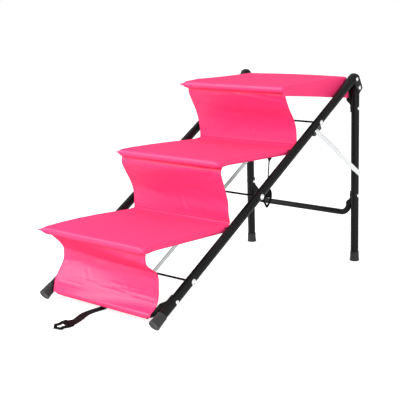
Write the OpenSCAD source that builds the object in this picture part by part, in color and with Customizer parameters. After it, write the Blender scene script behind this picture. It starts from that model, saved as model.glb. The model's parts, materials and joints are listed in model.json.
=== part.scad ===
// Folding three-step pet stairs: a tube frame with fabric-covered treads.
// X runs across, Y climbs towards the rear legs, Z is up; the feet stand on Z = 0.

/* [Rails] */
// Room between a tread's side and the rail beside it
tread_room = 3.5; // [2:0.5:8]
// Slope of the rails above the floor, degrees
rail_slope = 32.46; // [30:0.01:34]
// Outer diameter of rail and leg tube
tube_d = 22; // [20:0.5:24]
// Wall of every frame tube
tube_wall = 1.2; // [1:0.1:2]
// Distance along the rail from the top tread's pivot to the hinge rivet
hinge_beyond = 22.8; // [20:0.1:60]
// Rail tube beyond the hinge rivet
rail_over = 3; // [1:0.5:6]

/* [Rail feet] */
// Outer diameter of the rail's rubber foot
foot_cap_d = 27.4; // [25.2:0.1:28]
// Length of the rail's rubber foot
foot_cap_len = 32; // [25:1:36]
// Thickness of the foot's closed end
foot_cap_floor = 3; // [2:0.5:5]
// Depth worn flat where the foot meets the floor
foot_flat = 0.6; // [0.4:0.1:1.6]

/* [Steps] */
// Spacing of the steps, measured along the rail
step_pitch = 295.9; // [294:0.1:305]
// Distance along the rail from its foot end to the first tread pivot
first_pivot = 312.9; // [305:0.1:316]
// Distance along the rail from a tread pivot down to its cross rod
rod_back = 171; // [166:0.5:175]
// Diameter of the cross rods
rod_d = 5; // [4:0.5:6]
// Depth of a tread from its pivot to the tip of its nose
tread_depth = 277; // [268:0.5:278]
// Width of a covered tread
tread_w = 335; // [290:1:380]
// Diameter of the tread's tube frame
tread_tube_d = 9; // [8:0.5:10]
// Corner radius of the tread's tube frame
tread_corner = 14; // [10:1:24]
// Thickness of the tread's board
board_t = 4; // [3:0.5:4]
// Diameter of the bar under the board that the props hold
mid_bar_d = 8; // [7:0.5:9]
// Diameter of the tread's pivot pins
pin_d = 6; // [5:0.5:7]
// Reach of a tread's pivot pin from the rail
pin_reach = 16; // [12:1:24]
// Diameter of the weld collar round a tread pin
pin_collar_d = 10; // [8:0.5:12]
// Thickness of the weld collar
pin_collar_t = 1.5; // [1:0.1:2]

/* [Fabric] */
// Thickness of the cover fabric
cloth_t = 1; // [0.8:0.1:1.2]
// Width of the hem folded under each tread
hem_w = 27; // [18:1:40]
// Fabric tail behind the pivot of the first tread
tail_1 = 24; // [18:1:28]
// Fabric tail behind the pivot of the second tread
tail_2 = 40; // [30:1:44]
// Fabric tail behind the pivot of the third tread
tail_3 = 20; // [14:1:22]
// Thickness of the doubled fabric tail
tail_t = 2.2; // [1.6:0.1:2.6]
// How much narrower the hanging fabric is than the tread, per side
riser_in = 7.5; // [4.5:0.5:25]
// Thickness of the hanging fabric
riser_t = 1.6; // [1.2:0.1:2]
// How far the hanging fabric is set back under a nose
riser_set_back = 15; // [12:0.5:18]
// Depth of the side cloths under the top tread at their rear
gusset_h = 26; // [16:1:28]
// Thickness of the side cloths
gusset_t = 1.2; // [0.8:0.1:1.4]

/* [Props and link bars] */
// Length of a prop from its rod to its round head
prop_len = 104; // [103:0.5:106]
// Thickness of a prop
prop_t = 2.5; // [2:0.1:3]
// Width of a prop's arms
prop_w = 10; // [8:0.5:10.5]
// Radius of a prop's boss round its rod
prop_boss_r = 7; // [5:0.5:7.5]
// Length of a prop's tail, from its rod to the link bar's pin
prop_tail = 27.7; // [27:0.1:28.5]
// Lean of the prop's tail from the rail's normal, degrees
tail_lean = 20; // [18:0.1:21]
// Sideways place of the link bars
link_x = 38.3; // [30:0.1:60]
// Width of a link bar
link_w = 10; // [8:0.5:10]
// Thickness of a link bar
link_t = 2; // [1.5:0.1:2.5]
// Diameter of the link bars' pins
link_pin_d = 4; // [3:0.5:4.5]

/* [Legs] */
// Drop of the leg pivot below the rail's axis
hinge_drop = 27.6; // [27:0.1:30]
// Lean of the legs from the vertical, degrees
leg_lean = 2.66; // [1:0.01:4]
// Outer diameter of the leg's rubber foot
leg_foot_d = 26.4; // [25.2:0.1:30]
// Height of the leg's rubber foot
leg_foot_h = 26; // [20:1:40]
// Distance down the leg from its pivot to the lower cross bar
low_bar_at = 351; // [330:1:380]
// Distance down the leg from its pivot to the upper cross bar
top_bar_at = 3; // [2:0.5:5]

/* [Cross bars] */
// Outer diameter of the three cross bars
bar_d = 16; // [14:0.5:16.5]
// Bend radius of the cross bars' ends
bar_bend = 26; // [22:1:28]
// Length of the flattened end beyond the bend
saddle_len = 38; // [36:1:42]
// Thickness of the flattened end
saddle_t = 2.4; // [1.8:0.1:2.6]
// Distance from the end of the bend to the rivet
saddle_rivet = 27; // [24:1:30]
// Distance along the rail from its foot end to the front cross bar
front_bar_at = 24; // [20:1:30]
// Diameter of each cross bar's drain hole
drain_d = 3; // [2:0.5:4]

/* [Hinge caps] */
// Outer radius of the cap over the rail's end
cap_r = 14; // [13.5:0.1:14.1]
// Length of the cap below the hinge rivet
cap_back = 15; // [12:0.5:16]
// Thickness of the cheeks beside the leg
cheek_t = 2.9; // [2:0.1:2.9]
// Radius of the cheeks round the leg pivot
cheek_r = 16; // [14:0.5:17]

/* [Stays] */
// Distance along the rail from the hinge rivet down to the stay's pivot
stay_back = 225.9; // [215:0.1:240]
// Drop of the stay's pivot below the rail's axis
stay_drop = 4.5; // [3:0.1:6]
// Distance down the leg from its pivot to the stay's end
stay_down = 235.2; // [225:0.1:245]
// Length of the upper stay link
stay_upper = 124.6; // [120:0.1:130]
// Width of the upper stay link
stay_upper_w = 13; // [10:0.5:14]
// Width of the lower stay link
stay_lower_w = 10; // [8:0.5:12]
// Thickness of the stay links
stay_t = 2; // [1.5:0.1:2.2]
// Thickness of the bracket between rail and stay
clip_t = 2.6; // [2.3:0.1:3]
// Length of that bracket along the rail
clip_len = 34; // [26:1:44]

/* [Rivets] */
// Diameter of the frame rivets
rivet_d = 5; // [4:0.5:6]
// Head diameter of the frame rivets
rivet_head_d = 10; // [8:0.5:12]
// Head height of the frame rivets
rivet_head_h = 2; // [1.4:0.1:2.4]
// Diameter of the ringed washers at the cross rods
washer_d = 14; // [12:0.5:15]
// Height of those washers beyond the tube
washer_h = 1.1; // [0.8:0.1:1.3]

/* [Straps] */
// Width of the webbing straps
strap_w = 22; // [18:1:26]
// Thickness of the webbing straps
strap_t = 1.5; // [1.2:0.1:2]
// Hanging length of the rear strap
rear_strap_len = 140; // [100:1:150]
// Sideways place of the rear strap
rear_strap_x = 107; // [80:1:130]

/* [Hidden] */
$fn = 48;

// Clearances and overruns
fit = 0.05;      // running fit round pins and rods, per side
gap = 0.3;       // soft or curved faces of different pieces
cut = 1;         // overrun of every cut

ir = tube_d/2;
half = tread_w/2 + tread_room + ir;    // from the middle to a rail's axis
riser_w = tread_w - 2*riser_in;
pivot_s = [for (n = [0:2]) first_pivot + n*step_pitch];
hinge_at = pivot_s[2] + hinge_beyond;
rail_len = hinge_at + rail_over;
foot_r = foot_cap_d/2;
foot_z = foot_r*cos(rail_slope) - foot_flat;
nose_r = tread_tube_d/2 + cloth_t + fit;
tails = [tail_1, tail_2, tail_3];

// Places in the side view, before the whole part is centred: y runs along the floor from the
// rails' foot ends, s runs up a rail and h points below it, square to the rail.
function spot(s, h) = [s*cos(rail_slope) + h*sin(rail_slope),
                       foot_z + s*sin(rail_slope) - h*cos(rail_slope)];
leg_pivot = spot(hinge_at, hinge_drop);
function leg_spot(t, h) = [leg_pivot[0] + t*sin(leg_lean) + h*cos(leg_lean),
                           leg_pivot[1] - t*cos(leg_lean) + h*sin(leg_lean)];
leg_len = leg_pivot[1]/cos(leg_lean);
leg_foot_y = leg_spot(leg_len, 0)[0];
first_nose = spot(first_pivot, 0)[0] - tread_depth;
mid_y = (first_nose + leg_foot_y + leg_foot_d/2/cos(leg_lean))/2;

// Frames of reference: x across, y along the piece, z square to it
module in_side(p, x = 0) { translate([x, p[0] - mid_y, p[1]]) children(); }
module on_rail(s, h = 0, x = 0) { in_side(spot(s, h), x) rotate([rail_slope, 0, 0]) children(); }
module on_leg(t, h = 0, x = 0) { in_side(leg_spot(t, h), x) rotate([leg_lean - 90, 0, 0]) children(); }
// A tread's own frame: y runs back from the pivot, so its nose is at -tread_depth
module on_tread(n) { in_side(spot(pivot_s[n], 0)) children(); }
module along_x(from, to, d) { translate([from, 0, 0]) rotate([0, 90, 0]) cylinder(h = to - from, d = d); }
module along_y(from, to, d) { translate([0, from, 0]) rotate([-90, 0, 0]) cylinder(h = to - from, d = d); }
module tube_y(from, to, d, wall) {
    difference() { along_y(from, to, d); along_y(from - cut, to + cut, d - 2*wall); }
}
module both() { children(); mirror([1, 0, 0]) children(); }

// A domed head on the face at x, pointing along +x
function dome(d, h) = [for (a = [0:15:90]) [d/2*cos(a), h*sin(a)]];
module head(x, d, h) {
    translate([x, 0, 0]) rotate([0, 90, 0]) rotate_extrude() polygon(concat([[0, 0]], dome(d, h)));
}
// A rivet through from one face to the other with a dome on each side
module rivet(from, to, d, head_d, head_h) {
    along_x(from - head_h/4, to + head_h/4, d);
    head(to, head_d, head_h);
    translate([from, 0, 0]) mirror([1, 0, 0]) head(0, head_d, head_h);
}

// Smooth line through chosen points
function blend_at(a, b, c, d, t) = 0.5*((2*b) + (c - a)*t + (2*a - 5*b + 4*c - d)*t*t
    + (3*b - a - 3*c + d)*t*t*t);
function smooth(p, k) = let (m = len(p) - 1) concat([for (i = [0:m - 1]) for (j = [0:k - 1])
    blend_at(p[max(i - 1, 0)], p[i], p[i + 1], p[min(i + 2, m)], j/k)], [p[m]]);
function back(p) = [for (i = [len(p) - 1:-1:0]) p[i]];
// A cloth band of even depth along y behind a smooth line in the side view
module band(line, t, w) {
    translate([-w/2, -mid_y, 0]) rotate([90, 0, 90]) linear_extrude(w)
        polygon(concat(line, [for (q = back(line)) [q[0] + t, q[1]]]));
}

// RAILS
rivet_hole = rivet_d + 2*fit;
stay_top = spot(hinge_at - stay_back, stay_drop);
module rail(side) {
    color("#202124") on_rail(0, 0, side*half) difference() {
        tube_y(foot_cap_floor, rail_len, tube_d, tube_wall);
        for (s = pivot_s) translate([0, s - rod_back, 0]) along_x(-tube_d, tube_d, rod_d + 2*fit);
        translate([0, front_rivet_s, 0]) along_x(-tube_d, tube_d, rivet_hole);
        translate([0, hinge_at, 0]) along_x(-tube_d, tube_d, rivet_hole);
        translate([0, hinge_at - stay_back, -stay_drop])
            along_x(side > 0 ? 0 : -tube_d, side > 0 ? tube_d : 0, rivet_hole);
    }
}
module rail_foot(side) {
    color("#333436") difference() {
        on_rail(0, 0, side*half) difference() {
            along_y(0, foot_cap_len, foot_cap_d);
            along_y(foot_cap_floor, foot_cap_len + cut, tube_d + 2*fit);
        }
        translate([side*half - foot_cap_d, -mid_y - foot_cap_d, -foot_cap_d])
            cube([2*foot_cap_d, foot_cap_len + 2*foot_cap_d, foot_cap_d]);
    }
}

// CROSS BARS: a tube whose ends turn along the rail or leg, close and go on as a flat saddle.
// The bar runs along x at y = 0 and its ends point to +y.
bar_end_x = half - ir - bar_d/2 - gap;
bar_turn_x = bar_end_x - bar_bend;
front_rivet_s = front_bar_at + bar_bend + saddle_rivet;
module cross_bar() {
    difference() {
        union() {
            along_x(-bar_turn_x, bar_turn_x, bar_d);
            both() {
                translate([bar_turn_x, bar_bend, 0]) rotate([0, 0, -90])
                    rotate_extrude(angle = 90) translate([bar_bend, 0]) circle(d = bar_d);
                translate([bar_end_x, 0, 0]) along_y(bar_bend - fit, bar_bend + 2*saddle_t, bar_d);
                intersection() {
                    translate([half, 0, 0]) difference() {
                        along_y(bar_bend + saddle_t, bar_bend + saddle_len,
                            tube_d + 4*fit + 2*saddle_t);
                        along_y(bar_bend - bar_d, bar_bend + saddle_len + cut, tube_d + 4*fit);
                    }
                    translate([half - tube_d, bar_bend - bar_d/2, -bar_d/2])
                        cube([tube_d, saddle_len + bar_d, bar_d]);
                }
            }
        }
        along_x(-bar_turn_x - fit, bar_turn_x + fit, bar_d - 2*tube_wall);
        // drain hole of the closed tube, on its hidden side
        translate([0, 0, -bar_d]) cylinder(h = bar_d, d = drain_d);
        both() {
            translate([bar_turn_x, bar_bend, 0]) rotate([0, 0, -90]) rotate_extrude(angle = 90)
                translate([bar_bend, 0]) circle(d = bar_d - 2*tube_wall);
            translate([half, bar_bend + saddle_rivet, 0]) along_x(-tube_d, 0, rivet_hole);
        }
    }
}
// Rivet through a flattened end and its tube, on the +x side
module bar_rivet() {
    translate([half, 0, 0])
        rivet(-ir - saddle_t - 2*fit, ir, rivet_d, rivet_head_d, rivet_head_h);
}
module front_cross_bar() { color("#202124") on_rail(front_bar_at) cross_bar(); }
module front_bar_rivets() { color("#c9cbcd") both() on_rail(front_rivet_s) bar_rivet(); }

// CROSS RODS with ringed washers on the rails' outer sides
rod_end = half + ir + washer_h/2;
module cross_rod(n) { color("#202124") on_rail(pivot_s[n] - rod_back) along_x(-rod_end, rod_end, rod_d); }
module rod_washers() {
    color("#c9cbcd") both() for (s = pivot_s) on_rail(s - rod_back) difference() {
        union() {
            along_x(half + ir/2, half + ir + washer_h, washer_d);
            head(half + ir + washer_h, washer_d - 2*washer_h - 2*cloth_t, rivet_head_h - gap);
        }
        translate([half, 0, 0]) along_y(-washer_d, washer_d, tube_d + 2*fit);
        along_x(0, rod_end + fit, rod_d + 2*fit);
    }
}

// TREAD PINS welded to the rails' inner sides
module tread_pins() {
    color("#202124") both() for (n = [0:2]) on_tread(n) difference() {
        union() {
            along_x(half - ir - pin_reach, half - ir/2, pin_d);
            along_x(half - ir - pin_collar_t, half - ir/2, pin_collar_d);
        }
        translate([half, 0, 0]) rotate([rail_slope, 0, 0]) along_y(-tube_d, tube_d, tube_d + 2*fit);
    }
}

// TREADS: tube frame, board and fabric cover
side_x = tread_w/2 - cloth_t - gap - tread_tube_d/2;
front_y = -tread_depth + nose_r;
rear_tube_d = tread_tube_d + cloth_t;
mid_drop = mid_bar_d - tread_tube_d/2 + fit;          // centre of the mid bar below the frame
head_drop = mid_drop + mid_bar_d/2 + gap + prop_w/2;  // centre of a prop's head below the frame
prop_rise = rod_back*sin(rail_slope) - head_drop;
prop_run = sqrt(prop_len*prop_len - prop_rise*prop_rise);
mid_y_at = -rod_back*cos(rail_slope) - prop_run;      // the mid bar lies over the props' heads
// the front hem ends ahead of the mid bar
front_hem = min(hem_w, mid_y_at - mid_bar_d/2 - gap - front_y);
module tread_frame(n) {
    color("#202124") on_tread(n) difference() {
        union() {
            along_x(-side_x, side_x, rear_tube_d);
            translate([0, front_y, 0])
                along_x(tread_corner - side_x, side_x - tread_corner, tread_tube_d);
            translate([0, mid_y_at, -mid_drop]) along_x(-side_x, side_x, mid_bar_d);
            both() {
                translate([side_x, 0, 0]) along_y(front_y + tread_corner, 0, tread_tube_d);
                translate([side_x - tread_corner, front_y + tread_corner, 0]) rotate([0, 0, -90])
                    rotate_extrude(angle = 90) translate([tread_corner, 0]) circle(d = tread_tube_d);
                along_x(side_x, tread_w/2 - cloth_t - gap, rear_tube_d);
            }
        }
        both() along_x(half - ir - pin_reach - gap, half, pin_d + 2*fit);
    }
}
module tread_board(n) {
    hx = side_x - tread_tube_d/2 - gap;
    y0 = front_y + tread_tube_d/2 + gap;
    y1 = -rear_tube_d/2 - gap;
    r = tread_corner - tread_tube_d/2 - gap;
    color("#5a5450") on_tread(n) translate([0, 0, tread_tube_d/2 + fit - board_t]) linear_extrude(board_t)
        union() {
            translate([-hx, y0 + r]) square([2*hx, y1 - y0 - r]);
            translate([r - hx, y0]) square([2*(hx - r), r + fit]);
            for (k = [-1, 1]) translate([k*(hx - r), y0 + r]) circle(r = r);
        }
}
module cover_shape(r, ends) {
    // side view: round at the nose, round behind the pivot
    rotate([90, 0, 90]) linear_extrude(2*ends, center = true) union() {
        translate([front_y, 0]) circle(r = r);
        translate([front_y, -r]) square([-front_y, 2*r]);
        circle(r = r);
    }
}
module tread_cover(n) {
    inside = nose_r - cloth_t;
    end_in = tread_w/2 - cloth_t;
    color("#ff3f78") on_tread(n) difference() {
        union() {
            cover_shape(nose_r, tread_w/2);
            translate([-riser_w/2, 0, nose_r - tail_t]) cube([riser_w, tails[n], tail_t]);
        }
        cover_shape(inside, end_in);
        along_x(-end_in, end_in, rear_tube_d + 2*fit);
        both() along_x(end_in - cut, tread_w/2 + cut, pin_d + 4*gap);
        translate([hem_w - tread_w/2, front_y + front_hem, -nose_r - cut])
            cube([tread_w - 2*hem_w, -front_y - front_hem - rear_tube_d, nose_r + cut]);
        // slots in the side hems where the mid bar passes
        translate([-end_in, mid_y_at - mid_bar_d/2 - gap, -nose_r - cut])
            cube([2*end_in, mid_bar_d + 2*gap, nose_r + cut]);
    }
}
// Side cloths that hang under the top tread and grow deeper to the rear
module top_gusset() {
    top = -nose_r - gap;
    color("#f03a70") on_tread(2) translate([tread_w/2 - gusset_t - fit, 0, 0])
        rotate([90, 0, 90]) linear_extrude(gusset_t) polygon([
            [front_y + hem_w, top], [front_y/2, top - gusset_h*0.3], [-gusset_h/2, top - gusset_h],
            [-rear_tube_d/4, top - gusset_h/3], [-rear_tube_d/2, top]]);
}

// RISERS: fabric that hangs from each nose to the tread below, or to the front cross bar.
// Shares: first of the height from foot to nose, then of the way from foot to set-back top.
riser_1_shares = [[1, 1], [0.89, 0.97], [0.78, 0.62], [0.64, 0.12], [0.52, -0.12], [0.36, -0.04],
    [0.18, 0.42], [0.06, 0.88]];
riser_2_shares = [[1, 1], [0.87, 1.01], [0.65, 0.64], [0.4, 0.2], [0.22, 0.1], [0.06, 0.02], [0, 0]];
riser_3_shares = [[1, 1], [0.92, 0.96], [0.83, 0.9], [0.67, 0.61], [0.5, 0.3], [0.33, 0.08],
    [0.15, 0], [0, 0]];
front_bar = spot(front_bar_at, 0);
hem_in = bar_d/2 + gap;
sleeve_turn = 50;                   // how far the hem follows the bar's bends, degrees
function nose_under(n) = spot(pivot_s[n], 0) + [riser_set_back - tread_depth, -nose_r - gap];
function foot_of(n) = spot(pivot_s[n - 1], 0) + [tails[n - 1] + gap, nose_r - tail_t];
function shaped(shares, foot, top) = [for (q = shares)
    [foot[0] + (top[0] - foot[0])*q[1], foot[1] + (top[1] - foot[1])*q[0]]];
module riser_1() {
    // the lower end is a hem sleeve round the front cross bar
    top = nose_under(0);
    bulge = front_bar[0] + 1.4*hem_in;
    line = smooth(concat(shaped(riser_1_shares, [bulge, front_bar[1]], top),
        [[front_bar[0] - hem_in - riser_t, front_bar[1]]]), 4);
    color("#ff4f84") difference() {
        union() {
            band(line, riser_t, riser_w);
            on_rail(front_bar_at) sleeve(2*(hem_in + riser_t), sleeve_turn);
        }
        on_rail(front_bar_at) {
            sleeve(2*hem_in, 90);
            both() translate([bar_end_x, bar_bend, 0]) along_y(0, saddle_len, 2*hem_in);
        }
    }
}
// The room of the front cross bar: straight, then round the first part of its bends
module sleeve(d, turn) {
    along_x(-bar_turn_x, bar_turn_x, d);
    both() translate([bar_turn_x, bar_bend, 0]) rotate([0, 0, -90])
        rotate_extrude(angle = turn) translate([bar_bend, 0]) circle(d = d);
}
module riser(n, shares) {
    color("#ff4f84") band(smooth(shaped(shares, foot_of(n), nose_under(n)), 4), riser_t, riser_w);
}

// HINGE CAPS over the rails' ends, with cheeks that hold the legs
module hinge_cap(side) {
    color("#26272a") on_rail(hinge_at, 0, side*half) difference() {
        union() {
            along_y(-cap_back, rail_over + cut, 2*cap_r);
            translate([0, rail_over + cut, 0]) sphere(r = cap_r);
            for (x = [-ir - fit - cheek_t, ir + fit]) translate([x, 0, 0]) hull() {
                along_x(0, cheek_t, 2*(cap_r - cut));
                translate([0, 0, -hinge_drop]) along_x(0, cheek_t, 2*cheek_r);
            }
        }
        along_y(-cap_back - cut, rail_over + fit, tube_d + 2*fit);
        along_x(-tube_d, tube_d, rivet_hole);
        translate([0, 0, -hinge_drop]) along_x(-tube_d, tube_d, pin_d + 2*fit);
        // room for the leg's round top between the cheeks
        translate([0, 0, -hinge_drop]) along_x(-ir - fit, ir + fit, tube_d + 2*gap);
    }
}
module hinge_rivets() {
    out = ir + fit + cheek_t;
    color("#c9cbcd") both() on_rail(hinge_at, 0, half) {
        rivet(-out, out, rivet_d, rivet_head_d, rivet_head_h);
        translate([0, 0, -hinge_drop]) rivet(-out, out, pin_d, rivet_head_d + cut, rivet_head_h);
    }
}

// STAYS: folding two-link stays on the outer sides
stay_x = half + ir + clip_t + gap;               // inner face of the upper link
stay_low_x = stay_x - gap - stay_t;               // inner face of the lower link
stay_end = leg_spot(stay_down, 0);
stay_dir = atan2(stay_end[1] - stay_top[1], stay_end[0] - stay_top[0]);
stay_span = norm(stay_end - stay_top);
stay_lower = stay_span - stay_upper;
// A flat bar with round ends from the origin along y, its inner face at x = 0
module flat_bar(len, w, t, hole) {
    difference() {
        union() {
            translate([0, 0, -w/2]) cube([t, len, w]);
            along_x(0, t, w);
            translate([0, len, 0]) along_x(0, t, w);
        }
        for (y = [0, len]) translate([0, y, 0]) along_x(-cut, t + cut, hole);
    }
}
module on_stay(y, x) { in_side(stay_top, x) rotate([stay_dir, 0, 0]) translate([0, y, 0]) children(); }
module stay_upper_link() {
    // a shallow channel: its lips point outwards
    lip = stay_upper_w/8;
    color("#d7d9da") on_stay(0, stay_x) {
        flat_bar(stay_upper, stay_upper_w, stay_t, rivet_hole);
        for (k = [-1, 1]) translate([0, stay_upper_w/2, k*(stay_upper_w/2 - lip/2) - lip/2])
            cube([stay_t + lip, stay_upper - stay_upper_w, lip]);
    }
}
module stay_lower_link() {
    color("#d7d9da") on_stay(stay_upper, stay_low_x) flat_bar(stay_lower, stay_lower_w, stay_t, rivet_hole);
}
module stay_clip(side) {
    color("#26272a") mirror([side > 0 ? 0 : 1, 0, 0]) on_rail(hinge_at - stay_back, 0, half) difference() {
        union() {
            translate([ir/2, -clip_len/3, -stay_drop - stay_upper_w/2])
                cube([ir/2 + clip_t, clip_len, stay_upper_w]);
            translate([0, 0, -stay_drop]) along_x(ir/2, ir + clip_t, stay_upper_w + cut);
        }
        along_y(-clip_len, 2*clip_len, tube_d + 2*fit);
        translate([0, 0, -stay_drop]) along_x(0, tube_d, rivet_hole);
    }
}
module stay_top_rivets() {
    color("#c9cbcd") both() on_stay(0, 0) {
        along_x(half + ir/2, stay_x + stay_t + rivet_head_h/4, rivet_d);
        head(stay_x + stay_t, rivet_head_d, rivet_head_h);
    }
}
module stay_mid_rivets() {
    color("#c9cbcd") both() on_stay(stay_upper, 0) {
        along_x(stay_low_x - gap/2, stay_x + stay_t + rivet_head_h/4, rivet_d);
        head(stay_x + stay_t, rivet_head_d - cut, rivet_head_h);
    }
}
module stay_low_rivets() {
    // the stub ends just short of the leg
    color("#c9cbcd") both() on_stay(stay_span, 0) {
        along_x(half + ir + gap, stay_low_x + stay_t + rivet_head_h/4, rivet_d);
        head(stay_low_x + stay_t, rivet_head_d - cut, rivet_head_h);
    }
}

// LEGS
low_rivet_t = low_bar_at - bar_bend - saddle_rivet;
top_rivet_t = top_bar_at + bar_bend + saddle_rivet;
leg_foot_floor = foot_cap_floor + fit;
module leg(side) {
    color("#202124") on_leg(0, 0, side*half) difference() {
        union() {
            along_y(0, leg_len - leg_foot_floor, tube_d);
            sphere(d = tube_d);
        }
        along_y(ir, leg_len, tube_d - 2*tube_wall);
        along_x(-tube_d, tube_d, pin_d + 2*fit);
        for (t = [low_rivet_t, top_rivet_t]) translate([0, t, 0]) along_x(-tube_d, tube_d, rivet_hole);
    }
}
module leg_foot(side) {
    color("#333436") difference() {
        on_leg(0, 0, side*half) difference() {
            along_y(leg_len - leg_foot_h, leg_len + cut, leg_foot_d);
            along_y(leg_len - leg_foot_h - cut, leg_len - leg_foot_floor + fit, tube_d + 2*fit);
        }
        translate([side*half - leg_foot_d, leg_foot_y - mid_y - leg_foot_d, -leg_foot_d])
            cube([2*leg_foot_d, 2*leg_foot_d, leg_foot_d]);
    }
}
module upper_cross_bar() { color("#202124") on_leg(top_bar_at) cross_bar(); }
module lower_cross_bar() { color("#202124") on_leg(low_bar_at) mirror([0, 1, 0]) cross_bar(); }
module leg_rivets() {
    color("#c9cbcd") both() for (t = [low_rivet_t, top_rivet_t]) on_leg(t) bar_rivet();
}

// PROPS that turn on the cross rods and hold each tread's mid bar, and the bars that link them
prop_x = link_x - link_t/2 - gap - prop_t;
prop_tilt = 180 - atan2(prop_rise, prop_run);
tail_tilt = rail_slope - 90 - tail_lean;
module prop(n, side) {
    color("#2a2b2e") mirror([side > 0 ? 0 : 1, 0, 0]) on_rail(pivot_s[n] - rod_back)
        rotate([-rail_slope, 0, 0]) difference() {
            translate([prop_x, 0, 0]) rotate([90, 0, 90]) linear_extrude(prop_t) union() {
                circle(r = prop_boss_r);
                rotate(prop_tilt) prop_arm(prop_len);
                rotate(tail_tilt) prop_arm(prop_tail);
            }
            along_x(0, half, rod_d + 2*fit);
            rotate([tail_tilt, 0, 0]) translate([0, prop_tail, 0]) along_x(0, half, link_pin_d + 2*fit);
        }
}
module prop_arm(len) {
    translate([0, -prop_w/2]) square([len, prop_w]);
    translate([len, 0]) circle(d = prop_w);
}
module at_link(n) {
    on_rail(pivot_s[n] - rod_back) rotate([-rail_slope + tail_tilt, 0, 0])
        translate([0, prop_tail, 0]) children();
}
module link_pins(n) {
    color("#c9cbcd") both() at_link(n) {
        rivet(prop_x, link_x + link_t/2 + fit, link_pin_d, link_pin_d + 2*rivet_head_h, rivet_head_h/2);
    }
}
link_over = link_w*0.8;
module link_bar(side) {
    color("#d7d9da") mirror([side > 0 ? 0 : 1, 0, 0]) on_rail(pivot_s[0] - rod_back
            - prop_tail*sin(tail_lean), prop_tail*cos(tail_lean), link_x - link_t/2) difference() {
        union() {
            translate([0, -link_over, -link_w/2])
                cube([link_t, 2*step_pitch + 2*link_over, link_w]);
        }
        for (n = [0:2]) translate([0, n*step_pitch, 0]) along_x(-cut, link_t + cut, link_pin_d + 2*fit);
    }
}

// STRAPS of black webbing. The front one lies on the floor, its route in chosen places:
// sideways, along the floor from the rails' foot ends.
front_route = [[-21, 46], [-24, 25], [-28, 0], [-27, -25], [-20, -50], [-14, -72]];
function side_of(p, i, k) = let (a = p[max(i - 1, 0)], b = p[min(i + 1, len(p) - 1)], d = b - a)
    p[i] + k*[d[1], -d[0]]/norm(d);
module flat_strip(p, w) {
    polygon(concat([for (i = [0:len(p) - 1]) side_of(p, i, w/2)],
        back([for (i = [0:len(p) - 1]) side_of(p, i, -w/2)])));
}
module strap_loop(w, l) {
    // a sewn end patch with a loop of webbing beyond it, laid flat, pointing to -y
    band_w = strap_w/3;
    translate([-w/2, -l/3]) square([w, l/3]);
    difference() {
        union() {
            translate([-w/2, -l + w/2]) square([w, l*2/3 - w/2 + fit]);
            translate([0, -l + w/2]) circle(d = w);
        }
        translate([0, -l + w/2]) circle(d = w - 2*band_w);
        translate([band_w - w/2, -l + w/2]) square([w - 2*band_w, l*2/3 - w/2]);
    }
}
module front_strap() {
    line = smooth(front_route, 4);
    last = front_route[len(front_route) - 1];
    color("#1c1c1e") union() {
        translate([0, -mid_y, 0]) linear_extrude(strap_t) flat_strip(line, strap_w);
        translate([last[0], last[1] - mid_y + strap_t, 0]) rotate([0, 0, 8]) linear_extrude(1.6*strap_t)
            strap_loop(1.3*strap_w, 2.6*strap_w);
        // the end that climbs behind the hem to the front cross bar's sleeve
        translate([front_route[0][0] - strap_w/2, -mid_y, 0]) rotate([90, 0, 90]) linear_extrude(strap_w)
            polygon([[front_route[0][1] - strap_t, 0], [front_route[0][1] + strap_t, 0],
                [front_bar[0] + hem_in + riser_t + gap + strap_t, front_bar[1]],
                [front_bar[0] + hem_in + riser_t + gap, front_bar[1]],
                [front_bar[0] + hem_in + riser_t + gap, front_bar[1] - strap_t]]);
    }
}
module rear_strap() {
    top = -nose_r - gap;
    color("#1c1c1e") on_tread(1) translate([rear_strap_x, 0, top]) {
        // sewn flat under the hem, then hanging straight down
        translate([-strap_w/2, -strap_w, -strap_t]) cube([strap_w, strap_w, strap_t]);
        translate([-strap_w/2, -strap_t, -rear_strap_len*0.6]) cube([strap_w, strap_t, rear_strap_len*0.6]);
        translate([0, 0, -rear_strap_len*0.58]) rotate([90, 0, 0]) linear_extrude(1.6*strap_t)
            strap_loop(1.3*strap_w, rear_strap_len*0.42);
    }
}

rail(-1);  // rail_left
rail(1);  // rail_right
rail_foot(-1);  // rail_foot_left
rail_foot(1);  // rail_foot_right
front_cross_bar();
cross_rod(0);  // cross_rod_1
cross_rod(1);  // cross_rod_2
cross_rod(2);  // cross_rod_3
rod_washers();
tread_pins();
front_bar_rivets();
hinge_cap(-1);  // hinge_cap_left
hinge_cap(1);  // hinge_cap_right
hinge_rivets();
stay_clip(-1);  // stay_clip_left
stay_clip(1);  // stay_clip_right
stay_top_rivets();
riser_1();
riser(1, riser_2_shares);  // riser_2
riser(2, riser_3_shares);  // riser_3
front_strap();
leg(-1);  // leg_left
leg(1);  // leg_right
leg_foot(-1);  // leg_foot_left
leg_foot(1);  // leg_foot_right
upper_cross_bar();
lower_cross_bar();
leg_rivets();
tread_frame(0);  // tread_frame_1
tread_frame(1);  // tread_frame_2
tread_frame(2);  // tread_frame_3
tread_board(0);  // tread_board_1
tread_board(1);  // tread_board_2
tread_board(2);  // tread_board_3
tread_cover(0);  // tread_cover_1
tread_cover(1);  // tread_cover_2
tread_cover(2);  // tread_cover_3
mirror([1, 0, 0]) top_gusset();  // top_gusset_left
top_gusset();  // top_gusset_right
rear_strap();
prop(0, -1);  // prop_left_1
prop(0, 1);  // prop_right_1
prop(1, -1);  // prop_left_2
prop(1, 1);  // prop_right_2
prop(2, -1);  // prop_left_3
prop(2, 1);  // prop_right_3
link_pins(0);  // link_pins_1
link_pins(1);  // link_pins_2
link_pins(2);  // link_pins_3
link_bar(-1);  // link_bar_left
link_bar(1);  // link_bar_right
mirror([1, 0, 0]) stay_upper_link();  // stay_upper_left
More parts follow.
